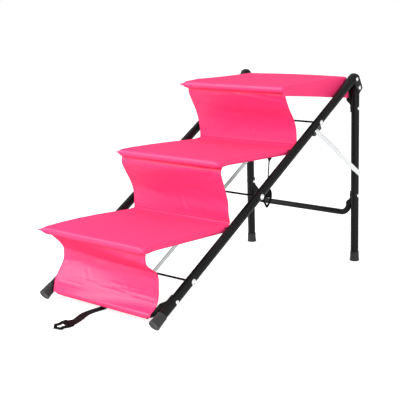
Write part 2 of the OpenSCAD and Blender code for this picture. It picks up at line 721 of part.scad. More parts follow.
stay_upper_link();  // stay_upper_right
stay_mid_rivets();
mirror([1, 0, 0]) stay_lower_link();  // stay_lower_left
stay_lower_link();  // stay_lower_right
stay_low_rivets();
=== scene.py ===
"""Folding pet stairs: the looks of one object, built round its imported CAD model.

The file is laid out as a Blender add-on and is run as a script. Every piece is in metres, in the
frame of the CAD model: x across, y from the lowest step to the legs, z up from the floor.
"""

import json
import math

import bmesh
import bpy
import numpy as np
from mathutils import Matrix, Vector, noise


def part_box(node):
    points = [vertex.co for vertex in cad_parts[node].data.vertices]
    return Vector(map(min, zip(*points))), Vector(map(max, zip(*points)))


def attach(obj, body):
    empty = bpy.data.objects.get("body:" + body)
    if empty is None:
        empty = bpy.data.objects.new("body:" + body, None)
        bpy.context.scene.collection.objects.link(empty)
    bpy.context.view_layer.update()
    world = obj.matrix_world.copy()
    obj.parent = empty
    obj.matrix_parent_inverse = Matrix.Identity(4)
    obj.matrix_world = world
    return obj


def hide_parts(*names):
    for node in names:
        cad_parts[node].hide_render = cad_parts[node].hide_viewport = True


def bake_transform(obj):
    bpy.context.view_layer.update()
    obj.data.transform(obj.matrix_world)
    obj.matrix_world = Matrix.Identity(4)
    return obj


bl_info = {
    "name": "Folding pet stairs",
    "version": (1, 0, 0),
    "blender": (4, 5, 0),
    "location": "3D View > Sidebar > Pet stairs",
    "description": "Builds cloth, straps, caps and finishes on the stairs' steel frame",
    "category": "Add Mesh",
}

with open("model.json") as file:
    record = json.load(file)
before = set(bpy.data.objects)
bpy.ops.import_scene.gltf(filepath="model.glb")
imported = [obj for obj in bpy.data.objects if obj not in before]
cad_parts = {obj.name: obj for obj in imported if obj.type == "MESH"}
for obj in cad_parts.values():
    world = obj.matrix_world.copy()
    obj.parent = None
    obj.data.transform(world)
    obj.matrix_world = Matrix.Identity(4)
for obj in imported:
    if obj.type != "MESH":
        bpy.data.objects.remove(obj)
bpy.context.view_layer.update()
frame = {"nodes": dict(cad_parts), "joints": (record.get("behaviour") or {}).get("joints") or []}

MM = 0.001
JOINTS = {joint["name"]: Vector(joint["pos_m"]) for joint in frame["joints"]}
PIVOTS = [JOINTS[f"tread_{n}_pivot"] for n in (1, 2, 3)]
SLOPE = math.atan2(PIVOTS[2].z - PIVOTS[0].z, PIVOTS[2].y - PIVOTS[0].y)
ALONG = Vector((0, math.cos(SLOPE), math.sin(SLOPE)))              # up along the rails
ACROSS = Vector((0, -math.sin(SLOPE), math.cos(SLOPE)))            # square to them, upwards
FRONT_BAR = PIVOTS[0] - ALONG * 0.2889                             # middle of the front cross bar
RAIL_X = 0.182                                                     # axis of the right rail and leg
LEG_HINGE = JOINTS["leg_hinge"]
LEG_LEAN = math.radians(2.66)
LEG_UP = Vector((0, -math.sin(LEG_LEAN), math.cos(LEG_LEAN)))      # up along the legs
LEG_SQUARE = Vector((0, math.cos(LEG_LEAN), math.sin(LEG_LEAN)))   # square to them, towards the rear
HALF_W = 167.5 * MM                                                # half of a tread's width
DEPTH = 277 * MM                                                   # a tread from its pivot to its nose
PROUD = 0.15 * MM                                                  # how far stitches stand off the cloth


# ---------------------------------------------------------------- settings

class StairsClothSettings(bpy.types.PropertyGroup):
    """Sizes and colour of the tread covers and the risers"""
    edge_radius: bpy.props.FloatProperty(
        name="Edge radius", description="Outer radius of the cloth where it turns over a tread's frame tube",
        default=5.55 * MM, min=3 * MM, max=9 * MM, unit="LENGTH")
    side_round: bpy.props.FloatProperty(
        name="Side rounding", description="How far the cloth curves out at a lower tread's sides",
        default=8 * MM, min=5 * MM, max=12 * MM, unit="LENGTH")
    ear: bpy.props.FloatProperty(
        name="Ears", description="How far the sewn corners of the nose stand out to a point",
        default=9 * MM, min=0, max=14 * MM, unit="LENGTH")
    nose_drop: bpy.props.FloatProperty(
        name="Nose depth", description="How far the cloth falls straight at the nose before it turns under",
        default=5.5 * MM, min=0, max=10 * MM, unit="LENGTH")
    cloth: bpy.props.FloatProperty(
        name="Cloth thickness", description="Thickness of the tread covers and risers",
        default=0.9 * MM, min=0.4 * MM, max=1.5 * MM, unit="LENGTH")
    hem: bpy.props.FloatProperty(
        name="Hem under the tread", description="How far a cover runs back under its tread",
        default=26 * MM, min=10 * MM, max=40 * MM, unit="LENGTH")
    rear_rise: bpy.props.FloatProperty(
        name="Rise of the top cover", description="How much higher the top tread's cloth is at its rear edge",
        default=12.5 * MM, min=0, max=16 * MM, unit="LENGTH")
    stitch_pitch: bpy.props.FloatProperty(
        name="Stitch pitch", description="Distance from one stitch to the next",
        default=4.2 * MM, min=2 * MM, max=8 * MM, unit="LENGTH")
    pink: bpy.props.FloatVectorProperty(
        name="Cloth colour", description="Colour of the covers and risers, linear",
        default=(0.97, 0.043, 0.19), size=3, min=0, max=1, subtype="COLOR")


class StairsStrapSettings(bpy.types.PropertyGroup):
    """Sizes of the two webbing straps"""
    width: bpy.props.FloatProperty(
        name="Webbing width", description="Width of both straps",
        default=22 * MM, min=15 * MM, max=30 * MM, unit="LENGTH")
    thickness: bpy.props.FloatProperty(
        name="Webbing thickness", description="Thickness of both straps",
        default=1.5 * MM, min=0.8 * MM, max=2.5 * MM, unit="LENGTH")


class StairsFootSettings(bpy.types.PropertyGroup):
    """Sizes of the rubber feet"""
    length: bpy.props.FloatProperty(
        name="Rail foot length", description="Length of the rubber foot on a rail's lower end",
        default=32 * MM, min=25 * MM, max=36 * MM, unit="LENGTH")
    lip: bpy.props.FloatProperty(
        name="Lip", description="Height of the moulded lip at a foot's open end",
        default=0.5 * MM, min=0, max=1 * MM, unit="LENGTH")


def cloth_settings():
    """The cloth's sizes and colour, as the scene holds them."""
    return bpy.context.scene.stairs_cloth


# ---------------------------------------------------------------- small helpers

def linear(code):
    """An sRGB hex colour as linear red, green, blue and an alpha of 1."""
    part = [int(code[i:i + 2], 16) / 255 for i in (1, 3, 5)]
    return [c / 12.92 if c <= 0.04045 else ((c + 0.055) / 1.055) ** 2.4 for c in part] + [1.0]


def feed(tree, node, feeds):
    """Sets a node's inputs. feeds maps an input's name or number to a value, or to the output that feeds it."""
    for key, value in feeds.items():
        if isinstance(value, bpy.types.NodeSocket):
            tree.links.new(value, node.inputs[key])
        else:
            node.inputs[key].default_value = value


def add_node(tree, kind, feeds=None, **settings):
    """Adds a node with its settings, and feeds its inputs."""
    node = tree.nodes.new(kind)
    for key, value in settings.items():
        setattr(node, key, value)
    feed(tree, node, feeds or {})
    return node


def new_material(name):
    """A node material with a bare principled shader: (material, its tree)."""
    material = bpy.data.materials.new(name)
    material.use_nodes = True
    return material, material.node_tree


def finish(tree, tone, roughness, relief=None, **others):
    """Feeds the principled shader. tone is an output or a hex colour, or (share, low, high) for a mix of
    two hex colours. roughness is an output or a number, or (share, low, high) for a range. relief is
    (height, strength, depth), with the relief under it as a fourth. others are plain inputs."""
    if isinstance(tone, tuple):
        share, low, high = tone
        tone = add_node(tree, "ShaderNodeMix", {"Factor": share, 6: linear(low), 7: linear(high)},
                        data_type="RGBA").outputs[2]
    elif isinstance(tone, str):
        tone = linear(tone)
    if isinstance(roughness, tuple):
        share, low, high = roughness
        roughness = add_node(tree, "ShaderNodeMapRange", {"Value": share, "To Min": low, "To Max": high}).outputs[0]
    feeds = {"Base Color": tone, "Roughness": roughness}
    feeds.update({name.replace("_", " "): value for name, value in others.items()})
    if relief:
        inputs = dict(zip(("Height", "Strength", "Distance", "Normal"), relief))
        feeds["Normal"] = add_node(tree, "ShaderNodeBump", inputs).outputs[0]
    feed(tree, tree.nodes["Principled BSDF"], feeds)


def smooth(t):
    """A soft step from 0 to 1."""
    t = min(1.0, max(0.0, t))
    return t * t * (3 - 2 * t)


def lerp(a, b, t):
    """The value a share t of the way from a to b."""
    return a + (b - a) * t


def rounded_line(points, steps):
    """A Catmull-Rom line through the points, steps pieces between two of them."""
    p = [Vector(q) for q in points]
    p = [p[0] * 2 - p[1]] + p + [p[-1] * 2 - p[-2]]
    line = []
    for i in range(1, len(p) - 2):
        for k in range(steps):
            t = k / steps
            a, b, c, d = p[i - 1], p[i], p[i + 1], p[i + 2]
            line.append(0.5 * (2 * b + (c - a) * t + (2 * a - 5 * b + 4 * c - d) * t ** 2
                               + (3 * b - a - 3 * c + d) * t ** 3))
    return line + [p[-2].copy()]


def by_length(line, count):
    """count points spaced evenly along a line of points."""
    run = np.concatenate([[0], np.cumsum([(b - a).length for a, b in zip(line, line[1:])])])
    want = np.linspace(0, run[-1], count)
    co = np.array(line, float)
    return [Vector([np.interp(w, run, co[:, k]) for k in range(len(co[0]))]) for w in want]


def spread(first, *legs):
    """Values from first on. Each leg is (its last value, its number of even steps)."""
    values = [first]
    for last, steps in legs:
        values += list(np.linspace(values[-1], last, steps + 1))[1:]
    return values


def line_length(points):
    """Length of a line of points."""
    return sum((b - a).length for a, b in zip(points, points[1:]))


def flat_list(rows):
    """All the items of a list of lists."""
    return [item for row in rows for item in row]


def new_object(name, mesh):
    """An object in the scene with this mesh or other data."""
    obj = bpy.data.objects.new(name, mesh)
    bpy.context.scene.collection.objects.link(obj)
    return obj


def mesh_object(name, verts, faces, uvs=None, out=None):
    """A smooth mesh object. uvs is one pair for each vertex, in metres. out is a function that gives,
    for a face's centre, the way that its front has to look."""
    mesh = bpy.data.meshes.new(name)
    mesh.from_pydata([tuple(v) for v in verts], [], faces)
    if uvs is not None:
        layer = mesh.uv_layers.new(name="UVMap")
        for loop in mesh.loops:
            layer.data[loop.index].uv = uvs[loop.vertex_index]

    def clean(work):
        """Merges doubles, and turns a sheet that looks the wrong way."""
        bmesh.ops.remove_doubles(work, verts=work.verts, dist=0.02 * MM)
        bmesh.ops.dissolve_degenerate(work, edges=work.edges, dist=0.001 * MM)
        if out is not None and sum(f.normal.dot(out(f.calc_center_median())) * f.calc_area() for f in work.faces) < 0:
            bmesh.ops.reverse_faces(work, faces=work.faces)

    mended(mesh, clean)
    mesh.shade_smooth()
    return new_object(name, mesh)


def grid_faces(rows, columns, close=False):
    """Faces between the points of a grid, row by row. close joins the last column to the first."""
    faces = []
    for i in range(rows - 1):
        for j in range(columns if close else columns - 1):
            k = (j + 1) % columns
            faces.append((i * columns + j, i * columns + k, (i + 1) * columns + k, (i + 1) * columns + j))
    return faces


def mended(mesh, change):
    """Runs change on the mesh as a bmesh, and keeps the result."""
    work = bmesh.new()
    work.from_mesh(mesh)
    change(work)
    work.to_mesh(mesh)
    work.free()


def fix_normals(obj):
    """Turns the faces of a closed mesh outwards."""
    mended(obj.data, lambda work: bmesh.ops.recalc_face_normals(work, faces=work.faces))


def joined(name, parts):
    """One mesh of several objects' closed ones. The objects are used up."""
    work = bmesh.new()
    for part in parts:
        work.from_mesh(part.data)
        bpy.data.objects.remove(part)
    mesh = bpy.data.meshes.new(name)
    work.to_mesh(mesh)
    work.free()
    return new_object(name, mesh)


def settled(obj):
    """Turns the object's modifiers into a plain mesh."""
    bpy.context.view_layer.update()
    graph = bpy.context.evaluated_depsgraph_get()
    plain = bpy.data.meshes.new_from_object(obj.evaluated_get(graph), depsgraph=graph)
    old = obj.data
    obj.modifiers.clear()
    obj.data = plain
    plain.name = obj.name
    if old.users == 0:
        bpy.data.meshes.remove(old)


def softened(obj, width):
    """Bevels the object's sharp edges."""
    soft = obj.modifiers.new("Edge", "BEVEL")
    soft.width, soft.segments, soft.limit_method = width, 2, "ANGLE"
    settled(obj)


def painted(obj, material):
    """Gives the object one material."""
    obj.data.materials.clear()
    obj.data.materials.append(material)
    return obj


def need(name):
    """The material of that name, which the finishes have made."""
    if name not in bpy.data.materials:
        raise RuntimeError(f"the material {name} is missing: make the finishes first")
    return bpy.data.materials[name]


def dent(u, v, line, width, depth):
    """How far a fold along line, (u0, v0) to (u1, v1), moves the cloth at (u, v): a soft valley
    that fades at its ends."""
    (u0, v0), (u1, v1) = line
    du, dv = u1 - u0, v1 - v0
    t = ((u - u0) * du + (v - v0) * dv) / (du * du + dv * dv)
    if t < -0.15 or t > 1.15:
        return 0.0
    near = math.hypot(u - u0 - t * du, v - v0 - t * dv) / width
    ends = smooth(t * 4 + 0.6) * smooth((1 - t) * 4 + 0.6)
    return depth * ends * (math.exp(-near * near) - 0.45 * math.exp(-((near - 1.7) / 0.8) ** 2))


# ---------------------------------------------------------------- finishes

def powder_coat():
    """Steel tube, powder coated satin black: a fine orange peel and a soft, broad highlight."""
    material, tree = new_material("powder coated steel")
    place = add_node(tree, "ShaderNodeTexCoord").outputs["Object"]
    drift = add_node(tree, "ShaderNodeTexNoise", {"Vector": place, "Scale": 14.0, "Detail": 3.0}).outputs["Fac"]
    # orange peel 1.3 mm from dimple to dimple
    peel = add_node(tree, "ShaderNodeTexNoise", {"Vector": place, "Scale": 1 / (1.3 * MM), "Detail": 1.0})
    finish(tree, (drift, "#080909", "#0E0F0F"), (drift, 0.4, 0.5), (peel.outputs["Fac"], 0.12, 0.1 * MM),
           Specular_IOR_Level=0.15)
    return material


def moulded_rubber(name, clean, floor_tone):
    """Feet of moulded rubber: dark grey and dull, a little lighter towards the floor."""
    material, tree = new_material(name)
    place = add_node(tree, "ShaderNodeTexCoord").outputs["Object"]
    height = add_node(tree, "ShaderNodeSeparateXYZ", {0: place})
    # the tone grows lighter over the lowest 12 mm, towards the floor, in uneven patches
    near_floor = add_node(tree, "ShaderNodeMapRange", {"Value": height.outputs["Z"], "From Min": 0.0, "From Max": 12 * MM,
                                                 "To Min": 0.55, "To Max": 0.0})
    cloud = add_node(tree, "ShaderNodeTexNoise", {"Vector": place, "Scale": 90.0, "Detail": 4.0})
    share = add_node(tree, "ShaderNodeMath", {0: near_floor.outputs["Result"], 1: cloud.outputs["Fac"]}, operation="MULTIPLY")
    # spark-eroded mould surface, grain 0.7 mm
    grain = add_node(tree, "ShaderNodeTexNoise", {"Vector": place, "Scale": 1 / (0.7 * MM), "Detail": 2.0})
    finish(tree, (share.outputs[0], clean, floor_tone), 0.72, (grain.outputs["Fac"], 0.25, 0.12 * MM))
    return material


def grey_end_rubber():
    """The feet's end faces: the same rubber, in a lighter grey."""
    material, tree = new_material("worn rubber face")
    place = add_node(tree, "ShaderNodeTexCoord").outputs["Object"]
    cloud = add_node(tree, "ShaderNodeTexNoise", {"Vector": place, "Scale": 160.0, "Detail": 5.0}).outputs["Fac"]
    # the end faces have a lighter, greyer tone than the foot's sides
    finish(tree, (cloud, "#2E3031", "#55585A"), 0.85, (cloud, 0.2, 0.2 * MM))
    return material


def moulded_plastic():
    """Hinge caps of injection moulded nylon: black, fine textured, half dull."""
    material, tree = new_material("moulded nylon")
    place = add_node(tree, "ShaderNodeTexCoord").outputs["Object"]
    grain = add_node(tree, "ShaderNodeTexVoronoi", {"Vector": place, "Scale": 1 / (0.9 * MM)}).outputs["Distance"]
    finish(tree, "#08090A", (grain, 0.34, 0.5), (grain, 0.15, 0.08 * MM), Specular_IOR_Level=0.17)
    return material


def painted_strip():
    """Pressed steel strip, dip painted black: thin paint that shows the strip's rolling marks."""
    material, tree = new_material("painted steel strip")
    place = add_node(tree, "ShaderNodeTexCoord").outputs["Object"]
    rolled = add_node(tree, "ShaderNodeMapping", {"Vector": place, "Scale": (1.0, 0.12, 1.0)})
    marks = add_node(tree, "ShaderNodeTexNoise", {"Vector": rolled.outputs[0], "Scale": 900.0, "Detail": 2.0})
    marks = marks.outputs["Fac"]
    finish(tree, (marks, "#1D1E1F", "#2C2D2E"), 0.42, (marks, 0.1, 0.05 * MM))
    return material


def zinc_strip(name, low, high):
    """Zinc plated steel strip: pale metal, finely drawn along its length."""
    material, tree = new_material(name)
    place = add_node(tree, "ShaderNodeTexCoord").outputs["Object"]
    drawn = add_node(tree, "ShaderNodeMapping", {"Vector": place, "Scale": (1.0, 0.06, 0.2)})
    marks = add_node(tree, "ShaderNodeTexNoise", {"Vector": drawn.outputs[0], "Scale": 1500.0, "Detail": 3.0})
    marks = marks.outputs["Fac"]
    cloud = add_node(tree, "ShaderNodeTexNoise", {"Vector": place, "Scale": 45.0, "Detail": 2.0})
    finish(tree, (cloud.outputs["Fac"], low, high), (marks, 0.26, 0.44), (marks, 0.06, 0.05 * MM), Metallic=1.0)
    return material


def plated_rivet():
    """Pressed rivets, washers and pins, nickel plated: bright, with small scuffs."""
    material, tree = new_material("nickel plated rivet")
    place = add_node(tree, "ShaderNodeTexCoord").outputs["Object"]
    scuff = add_node(tree, "ShaderNodeTexNoise", {"Vector": place, "Scale": 420.0, "Detail": 4.0})
    finish(tree, "#D6D7D8", (scuff.outputs["Fac"], 0.16, 0.38), Metallic=1.0)
    return material


def woven_polyester():
    """Coated polyester, woven smooth and dyed pink: softly shiny where it faces the eye and dull where
    it turns away, with tiny threads and a slow drift of tone from handling."""
    material, tree = new_material("woven polyester")
    place = add_node(tree, "ShaderNodeTexCoord")
    pink = list(cloth_settings().pink) + [1.0]
    deep = [pink[0] * 0.97, pink[1] * 0.86, pink[2] * 0.9, 1.0]
    drift = add_node(tree, "ShaderNodeTexNoise", {"Vector": place.outputs["Object"], "Scale": 9.0, "Detail": 3.0})
    tone = add_node(tree, "ShaderNodeMix", {"Factor": drift.outputs["Fac"], 6: pink, 7: deep}, data_type="RGBA")
    # plain weave: threads 0.55 mm apart are drawn 1.1 mm apart, so that they show close up
    cells = add_node(tree, "ShaderNodeVectorMath", {0: place.outputs["UV"], "Scale": math.pi / (1.1 * MM)},
                     operation="SCALE")
    split = add_node(tree, "ShaderNodeSeparateXYZ", {0: cells.outputs[0]})
    warp = add_node(tree, "ShaderNodeMath", {0: split.outputs["X"]}, operation="SINE")
    weft = add_node(tree, "ShaderNodeMath", {0: split.outputs["Y"]}, operation="SINE")
    weave = add_node(tree, "ShaderNodeMath", {0: warp.outputs[0], 1: weft.outputs[0]}, operation="MULTIPLY")
    shade = add_node(tree, "ShaderNodeMapRange",
                     {"Value": weave.outputs[0], "From Min": -1.0, "To Min": 0.94, "To Max": 1.0})
    cloth = add_node(tree, "ShaderNodeMix", {"Factor": 1.0, 6: tone.outputs[2], 7: shade.outputs["Result"]},
                     data_type="RGBA", blend_type="MULTIPLY")
    facing = add_node(tree, "ShaderNodeLayerWeight", {"Blend": 0.5})
    dull = add_node(tree, "ShaderNodeMapRange", {"Value": facing.outputs["Facing"], "From Min": 0.35, "From Max": 0.75,
                                                 "To Min": 0.42, "To Max": 1.0})
    # the cloth's own small unevenness, a few millimetres across, under the threads
    slack = add_node(tree, "ShaderNodeTexNoise", {"Vector": place.outputs["Object"], "Scale": 110.0, "Detail": 2.0})
    under = add_node(tree, "ShaderNodeBump", {"Height": slack.outputs["Fac"], "Strength": 0.2, "Distance": 0.5 * MM})
    finish(tree, cloth.outputs[2], dull.outputs["Result"], (weave.outputs[0], 0.22, 0.12 * MM, under.outputs["Normal"]),
           Specular_IOR_Level=0.3)
    return material


def sewing_thread():
    """Twisted polyester thread in the cloth's pink, a touch lighter."""
    material, tree = new_material("twisted thread")
    place = add_node(tree, "ShaderNodeTexCoord").outputs["Object"]
    ply = add_node(tree, "ShaderNodeTexNoise", {"Vector": place, "Scale": 1 / (0.8 * MM)})
    finish(tree, (ply.outputs["Fac"], "#F4487F", "#FF7BA5"), 0.55)
    return material


def strap_webbing():
    """Polypropylene webbing, black: ribs across the width, and a slightly shiny yarn."""
    material, tree = new_material("polypropylene webbing")
    place = add_node(tree, "ShaderNodeTexCoord")
    split = add_node(tree, "ShaderNodeSeparateXYZ", {0: place.outputs["UV"]})
    waves = []
    # ribs 1.6 mm apart along the strap, yarns 0.9 mm apart across it: a wave of 1.8 mm has two of them
    for way, pitch in (("Y", 1.6 * MM), ("X", 1.8 * MM)):
        turn = add_node(tree, "ShaderNodeMath", {0: split.outputs[way], 1: 2 * math.pi / pitch}, operation="MULTIPLY")
        waves.append(add_node(tree, "ShaderNodeMath", {0: turn.outputs[0]}, operation="SINE").outputs[0])
    both = add_node(tree, "ShaderNodeMath", {0: waves[0], 1: waves[1]}, operation="MULTIPLY").outputs[0]
    share = add_node(tree, "ShaderNodeMapRange", {"Value": both, "From Min": -1.0}).outputs["Result"]
    finish(tree, (share, "#030404", "#090A0A"), 0.75, (both, 0.5, 0.25 * MM), Specular_IOR_Level=0.1)
    return material


def hardboard():
    """Tread boards of pressed wood fibre: brown and matt, with short dark fibres."""
    material, tree = new_material("pressed hardboard")
    place = add_node(tree, "ShaderNodeTexCoord").outputs["Object"]
    lie = add_node(tree, "ShaderNodeMapping", {"Vector": place, "Scale": (1.0, 0.4, 1.0)})
    fibre = add_node(tree, "ShaderNodeTexNoise",
                     {"Vector": lie.outputs[0], "Scale": 420.0, "Detail": 6.0, "Roughness": 0.7}).outputs["Fac"]
    finish(tree, (fibre, "#4E3B2C", "#86694C"), 0.8, (fibre, 0.3, 0.2 * MM))
    return material


class StairsFinishes(bpy.types.Operator):
    """Makes the materials and puts them on the steel and plastic pieces that the frame brings"""
    bl_idname = "stairs.finishes"
    bl_label = "Finishes"

    def execute(self, context):
        by_slot = {
            "frame_black": powder_coat(), "rubber_grey": moulded_rubber("moulded rubber", "#1D1E1F", "#525354"),
            "cap_black": moulded_plastic(), "bracket_black": painted_strip(),
            "link_zinc": zinc_strip("zinc plated strip", "#D2D5D6", "#E8EAEA"), "rivet_steel": plated_rivet(),
            "fabric_pink": woven_polyester(), "webbing_black": strap_webbing(), "board": hardboard(),
        }
        moulded_rubber("black foot rubber", "#121313", "#2C2D2D")
        grey_end_rubber()
        sewing_thread()
        for node in frame["nodes"].values():
            slot = node.data.materials[0].name.split(".")[0] if node.data.materials else ""
            if slot not in by_slot:
                raise RuntimeError(f"{node.name} has a material slot without a finish: {slot}")
            node.data.materials[0] = by_slot[slot]
        # the link bars hang in the treads' shade: a darker copy of the zinc paints that shade on them
        dull = zinc_strip("dulled zinc strip", "#A4A8A6", "#BABEBC")
        for side in ("left", "right"):
            frame["nodes"][f"link_bar_{side}"].data.materials[0] = dull
        return {"FINISHED"}


# ---------------------------------------------------------------- camera

class StairsCamera(bpy.types.Operator):
    """Makes the camera: 40.7 degrees round from the front, 10.6 degrees up, 2.39 m away"""
    bl_idname = "stairs.camera"
    bl_label = "Camera"

    def execute(self, context):
        azimuth, elevation, distance = math.radians(40.74), math.radians(10.64), 2.388
        aim = Vector((0, -45 * MM, 215.1 * MM))
        back = Vector((math.sin(azimuth) * math.cos(elevation), -math.cos(azimuth) * math.cos(elevation),
                       math.sin(elevation)))
        data = bpy.data.cameras.new("camera")
        data.lens, data.sensor_width = 84.69, 36
        data.clip_start, data.clip_end = 0.05, 60
        camera = new_object("camera", data)
        camera.location = aim + back * distance
        camera.rotation_euler = back.to_track_quat("Z", "Y").to_euler()
        context.scene.camera = camera
        return {"FINISHED"}


# ---------------------------------------------------------------- feet, stitches, caps, necks, stays

def turned(name, profile, origin, axis, around=56):
    """A closed turned piece. profile is (radius, height) pairs in mm, from the axis to the axis again."""
    axis = axis.normalized()
    side = axis.cross(Vector((1, 0, 0)) if abs(axis.x) < 0.9 else Vector((0, 1, 0))).normalized()
    other = axis.cross(side)
    angles = [2 * math.pi * k / around for k in range(around)]
    spokes = [side * math.cos(a) + other * math.sin(a) for a in angles]
    verts = [origin + axis * (h * MM) + spoke * (r * MM) for r, h in profile for spoke in spokes]
    obj = mesh_object(name, verts, grid_faces(len(profile), around, close=True))
    fix_normals(obj)
    return obj


class StairsFeet(bpy.types.Operator):
    """Makes the four rubber feet: tapered, with a rounded rim, a lip at the tube and a lighter grey end face"""
    bl_idname = "stairs.feet"
    bl_label = "Rubber feet"

    def execute(self, context):
        settings = context.scene.stairs_feet
        long, lip = settings.length / MM, settings.lip / MM
        big, small = 13.7, 12.1          # radius at the floor and at the lip, in mm as all that follows
        rail_foot = [(0, 0.9), (8.5, 0.9), (9.2, 0.15), (big - 1.2, 0), (big - 0.35, 0.35), (big, 1.3),
                     (big - 0.1, 4), (big - 0.75, 12), (small + 0.25, long - 8), (small, long - 3.4),
                     (small + lip * 0.6, long - 2.6), (small + lip, long - 1.4), (small + lip * 0.6, long - 0.3)]
        rail_foot += self.mouth(small, long)
        big, small, long = 13.2, 12.0, 26          # the legs' feet are smaller
        leg_foot = [(0, -0.8), (big - 0.9, -0.8), (big - 0.2, 0.7), (big, 1.6), (big - 0.1, 5), (big - 0.7, 8),
                    (small + 0.2, 15), (small, long - 3.4), (small + lip, long - 1.8), (small + lip, long - 0.9)]
        leg_foot += self.mouth(small, long)
        rail_end, leg_end = FRONT_BAR - ALONG * 24 * MM, Vector((0, 409.96 * MM, 0))
        for side, sign in (("left", -1), ("right", 1)):
            out = Vector((sign * RAIL_X, 0, 0))
            self.foot(f"rubber_foot_{side}", rail_foot, rail_end + out, ALONG, f"rail_foot_{side}", "frame",
                      "moulded rubber")
            self.foot(f"rubber_leg_foot_{side}", leg_foot, leg_end + out, LEG_UP, f"leg_foot_{side}", "legs",
                      "black foot rubber")
        return {"FINISHED"}

    def mouth(self, small, long):
        """The open end, round the tube of 22 mm."""
        bore = 11.03
        return [(small - 0.3, long), (bore, long), (bore, long - 4), (0, long - 4)]

    def foot(self, name, profile, base, axis, node, body, rubber):
        """One foot, turned about its tube, with the lighter grey end face below."""
        obj = turned(name, profile, base, axis)
        for vertex in obj.data.vertices:
            vertex.co.z = max(0.0, vertex.co.z)          # pressed flat where it stands
        painted(obj, need(rubber))
        obj.data.materials.append(need("worn rubber face"))
        for face in obj.data.polygons:
            if (face.center - base).dot(axis) < 0.95 * MM and face.normal.dot(axis) < -0.7:
                face.material_index = 1
        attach(obj, body)
        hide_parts(node)


def new_tree(name, **sizes):
    """Geometry nodes with inputs for a geometry, these sizes and a material: (tree, the inputs' node)."""
    tree = bpy.data.node_groups.new(name, "GeometryNodeTree")
    face = tree.interface
    face.new_socket("Geometry", in_out="INPUT", socket_type="NodeSocketGeometry")
    for label, size in sizes.items():
        face.new_socket(label, in_out="INPUT", socket_type="NodeSocketFloat").default_value = size
    face.new_socket("Material", in_out="INPUT", socket_type="NodeSocketMaterial")
    face.new_socket("Geometry", in_out="OUTPUT", socket_type="NodeSocketGeometry")
    return tree, add_node(tree, "NodeGroupInput")


def close_tree(tree, start, points, shape, turn, scale):
    """Ends a tree: the shape set on every point, made real and given its material."""
    set_on = add_node(tree, "GeometryNodeInstanceOnPoints",
                      {"Points": points, "Instance": shape, "Rotation": turn, "Scale": scale})
    real = add_node(tree, "GeometryNodeRealizeInstances", {0: set_on.outputs[0]})
    done = add_node(tree, "GeometryNodeSetMaterial", {0: real.outputs[0], "Material": start.outputs["Material"]})
    add_node(tree, "NodeGroupOutput", {0: done.outputs[0]})
    return tree


def point_tree(shape):
    """Geometry nodes: the shape object set on every vertex, turned to the vertex's own direction."""
    tree, start = new_tree("fixings on points", Size=1.0, Turn=0.9)
    way = add_node(tree, "GeometryNodeInputNamedAttribute", {"Name": "way"}, data_type="FLOAT_VECTOR")
    aim = add_node(tree, "FunctionNodeAlignRotationToVector", {"Vector": way.outputs["Attribute"]}, axis="Z")
    number = add_node(tree, "GeometryNodeInputIndex")
    spin = add_node(tree, "ShaderNodeMath", {0: number.outputs[0], 1: start.outputs["Turn"]}, operation="MULTIPLY")
    about = add_node(tree, "ShaderNodeCombineXYZ", {"Z": spin.outputs[0]})
    turn = add_node(tree, "FunctionNodeEulerToRotation", {0: about.outputs[0]})
    both = add_node(tree, "FunctionNodeRotateRotation", {0: aim.outputs[0], 1: turn.outputs[0]}, rotation_space="LOCAL")
    piece = add_node(tree, "GeometryNodeObjectInfo", {"Object": shape})
    dots = add_node(tree, "GeometryNodeMeshToPoints", {"Mesh": start.outputs["Geometry"]})
    return close_tree(tree, start, dots.outputs[0], piece.outputs["Geometry"], both.outputs[0], start.outputs["Size"])


def stitch_tree():
    """Geometry nodes: one stitch after another along every line of the mesh."""
    tree, start = new_tree("stitch row", Pitch=4.2 * MM, Stitch=3.1 * MM, Thread=0.7 * MM)
    line = add_node(tree, "GeometryNodeMeshToCurve", {"Mesh": start.outputs["Geometry"]})
    even = add_node(tree, "GeometryNodeResampleCurve", {"Curve": line.outputs[0], "Length": start.outputs["Pitch"]},
                    mode="LENGTH")
    along = add_node(tree, "GeometryNodeInputTangent")
    turn = add_node(tree, "FunctionNodeAlignRotationToVector", {"Vector": along.outputs[0]}, axis="Z")
    bead = add_node(tree, "GeometryNodeMeshUVSphere", {"Segments": 6, "Rings": 4, "Radius": 0.5})
    thread = start.outputs["Thread"]
    size = add_node(tree, "ShaderNodeCombineXYZ", {"X": thread, "Y": thread, "Z": start.outputs["Stitch"]})
    return close_tree(tree, start, even.outputs[0], bead.outputs["Mesh"], turn.outputs[0], size.outputs[0])


def grown(obj, tree, **values):
    """Runs a geometry node tree on obj with these inputs, and keeps the plain mesh."""
    change = obj.modifiers.new("Build", "NODES")
    change.node_group = tree
    for item in tree.interface.items_tree:
        if item.item_type == "SOCKET" and item.in_out == "INPUT" and item.name in values:
            change[item.identifier] = values[item.name]
    settled(obj)
    obj.data.shade_smooth()
    return obj


def stitched(name, lines, s):
    """Rows of stitches along lines of points."""
    edges, first = [], 0
    for line in lines:
        edges += [(first + i, first + i + 1) for i in range(len(line) - 1)]
        first += len(line)
    mesh = bpy.data.meshes.new(name)
    mesh.from_pydata([tuple(p) for line in lines for p in line], edges, [])
    tree = bpy.data.node_groups.get("stitch row") or stitch_tree()
    obj = grown(new_object(name, mesh), tree, Pitch=s.stitch_pitch, Material=need("twisted thread"))
    return obj


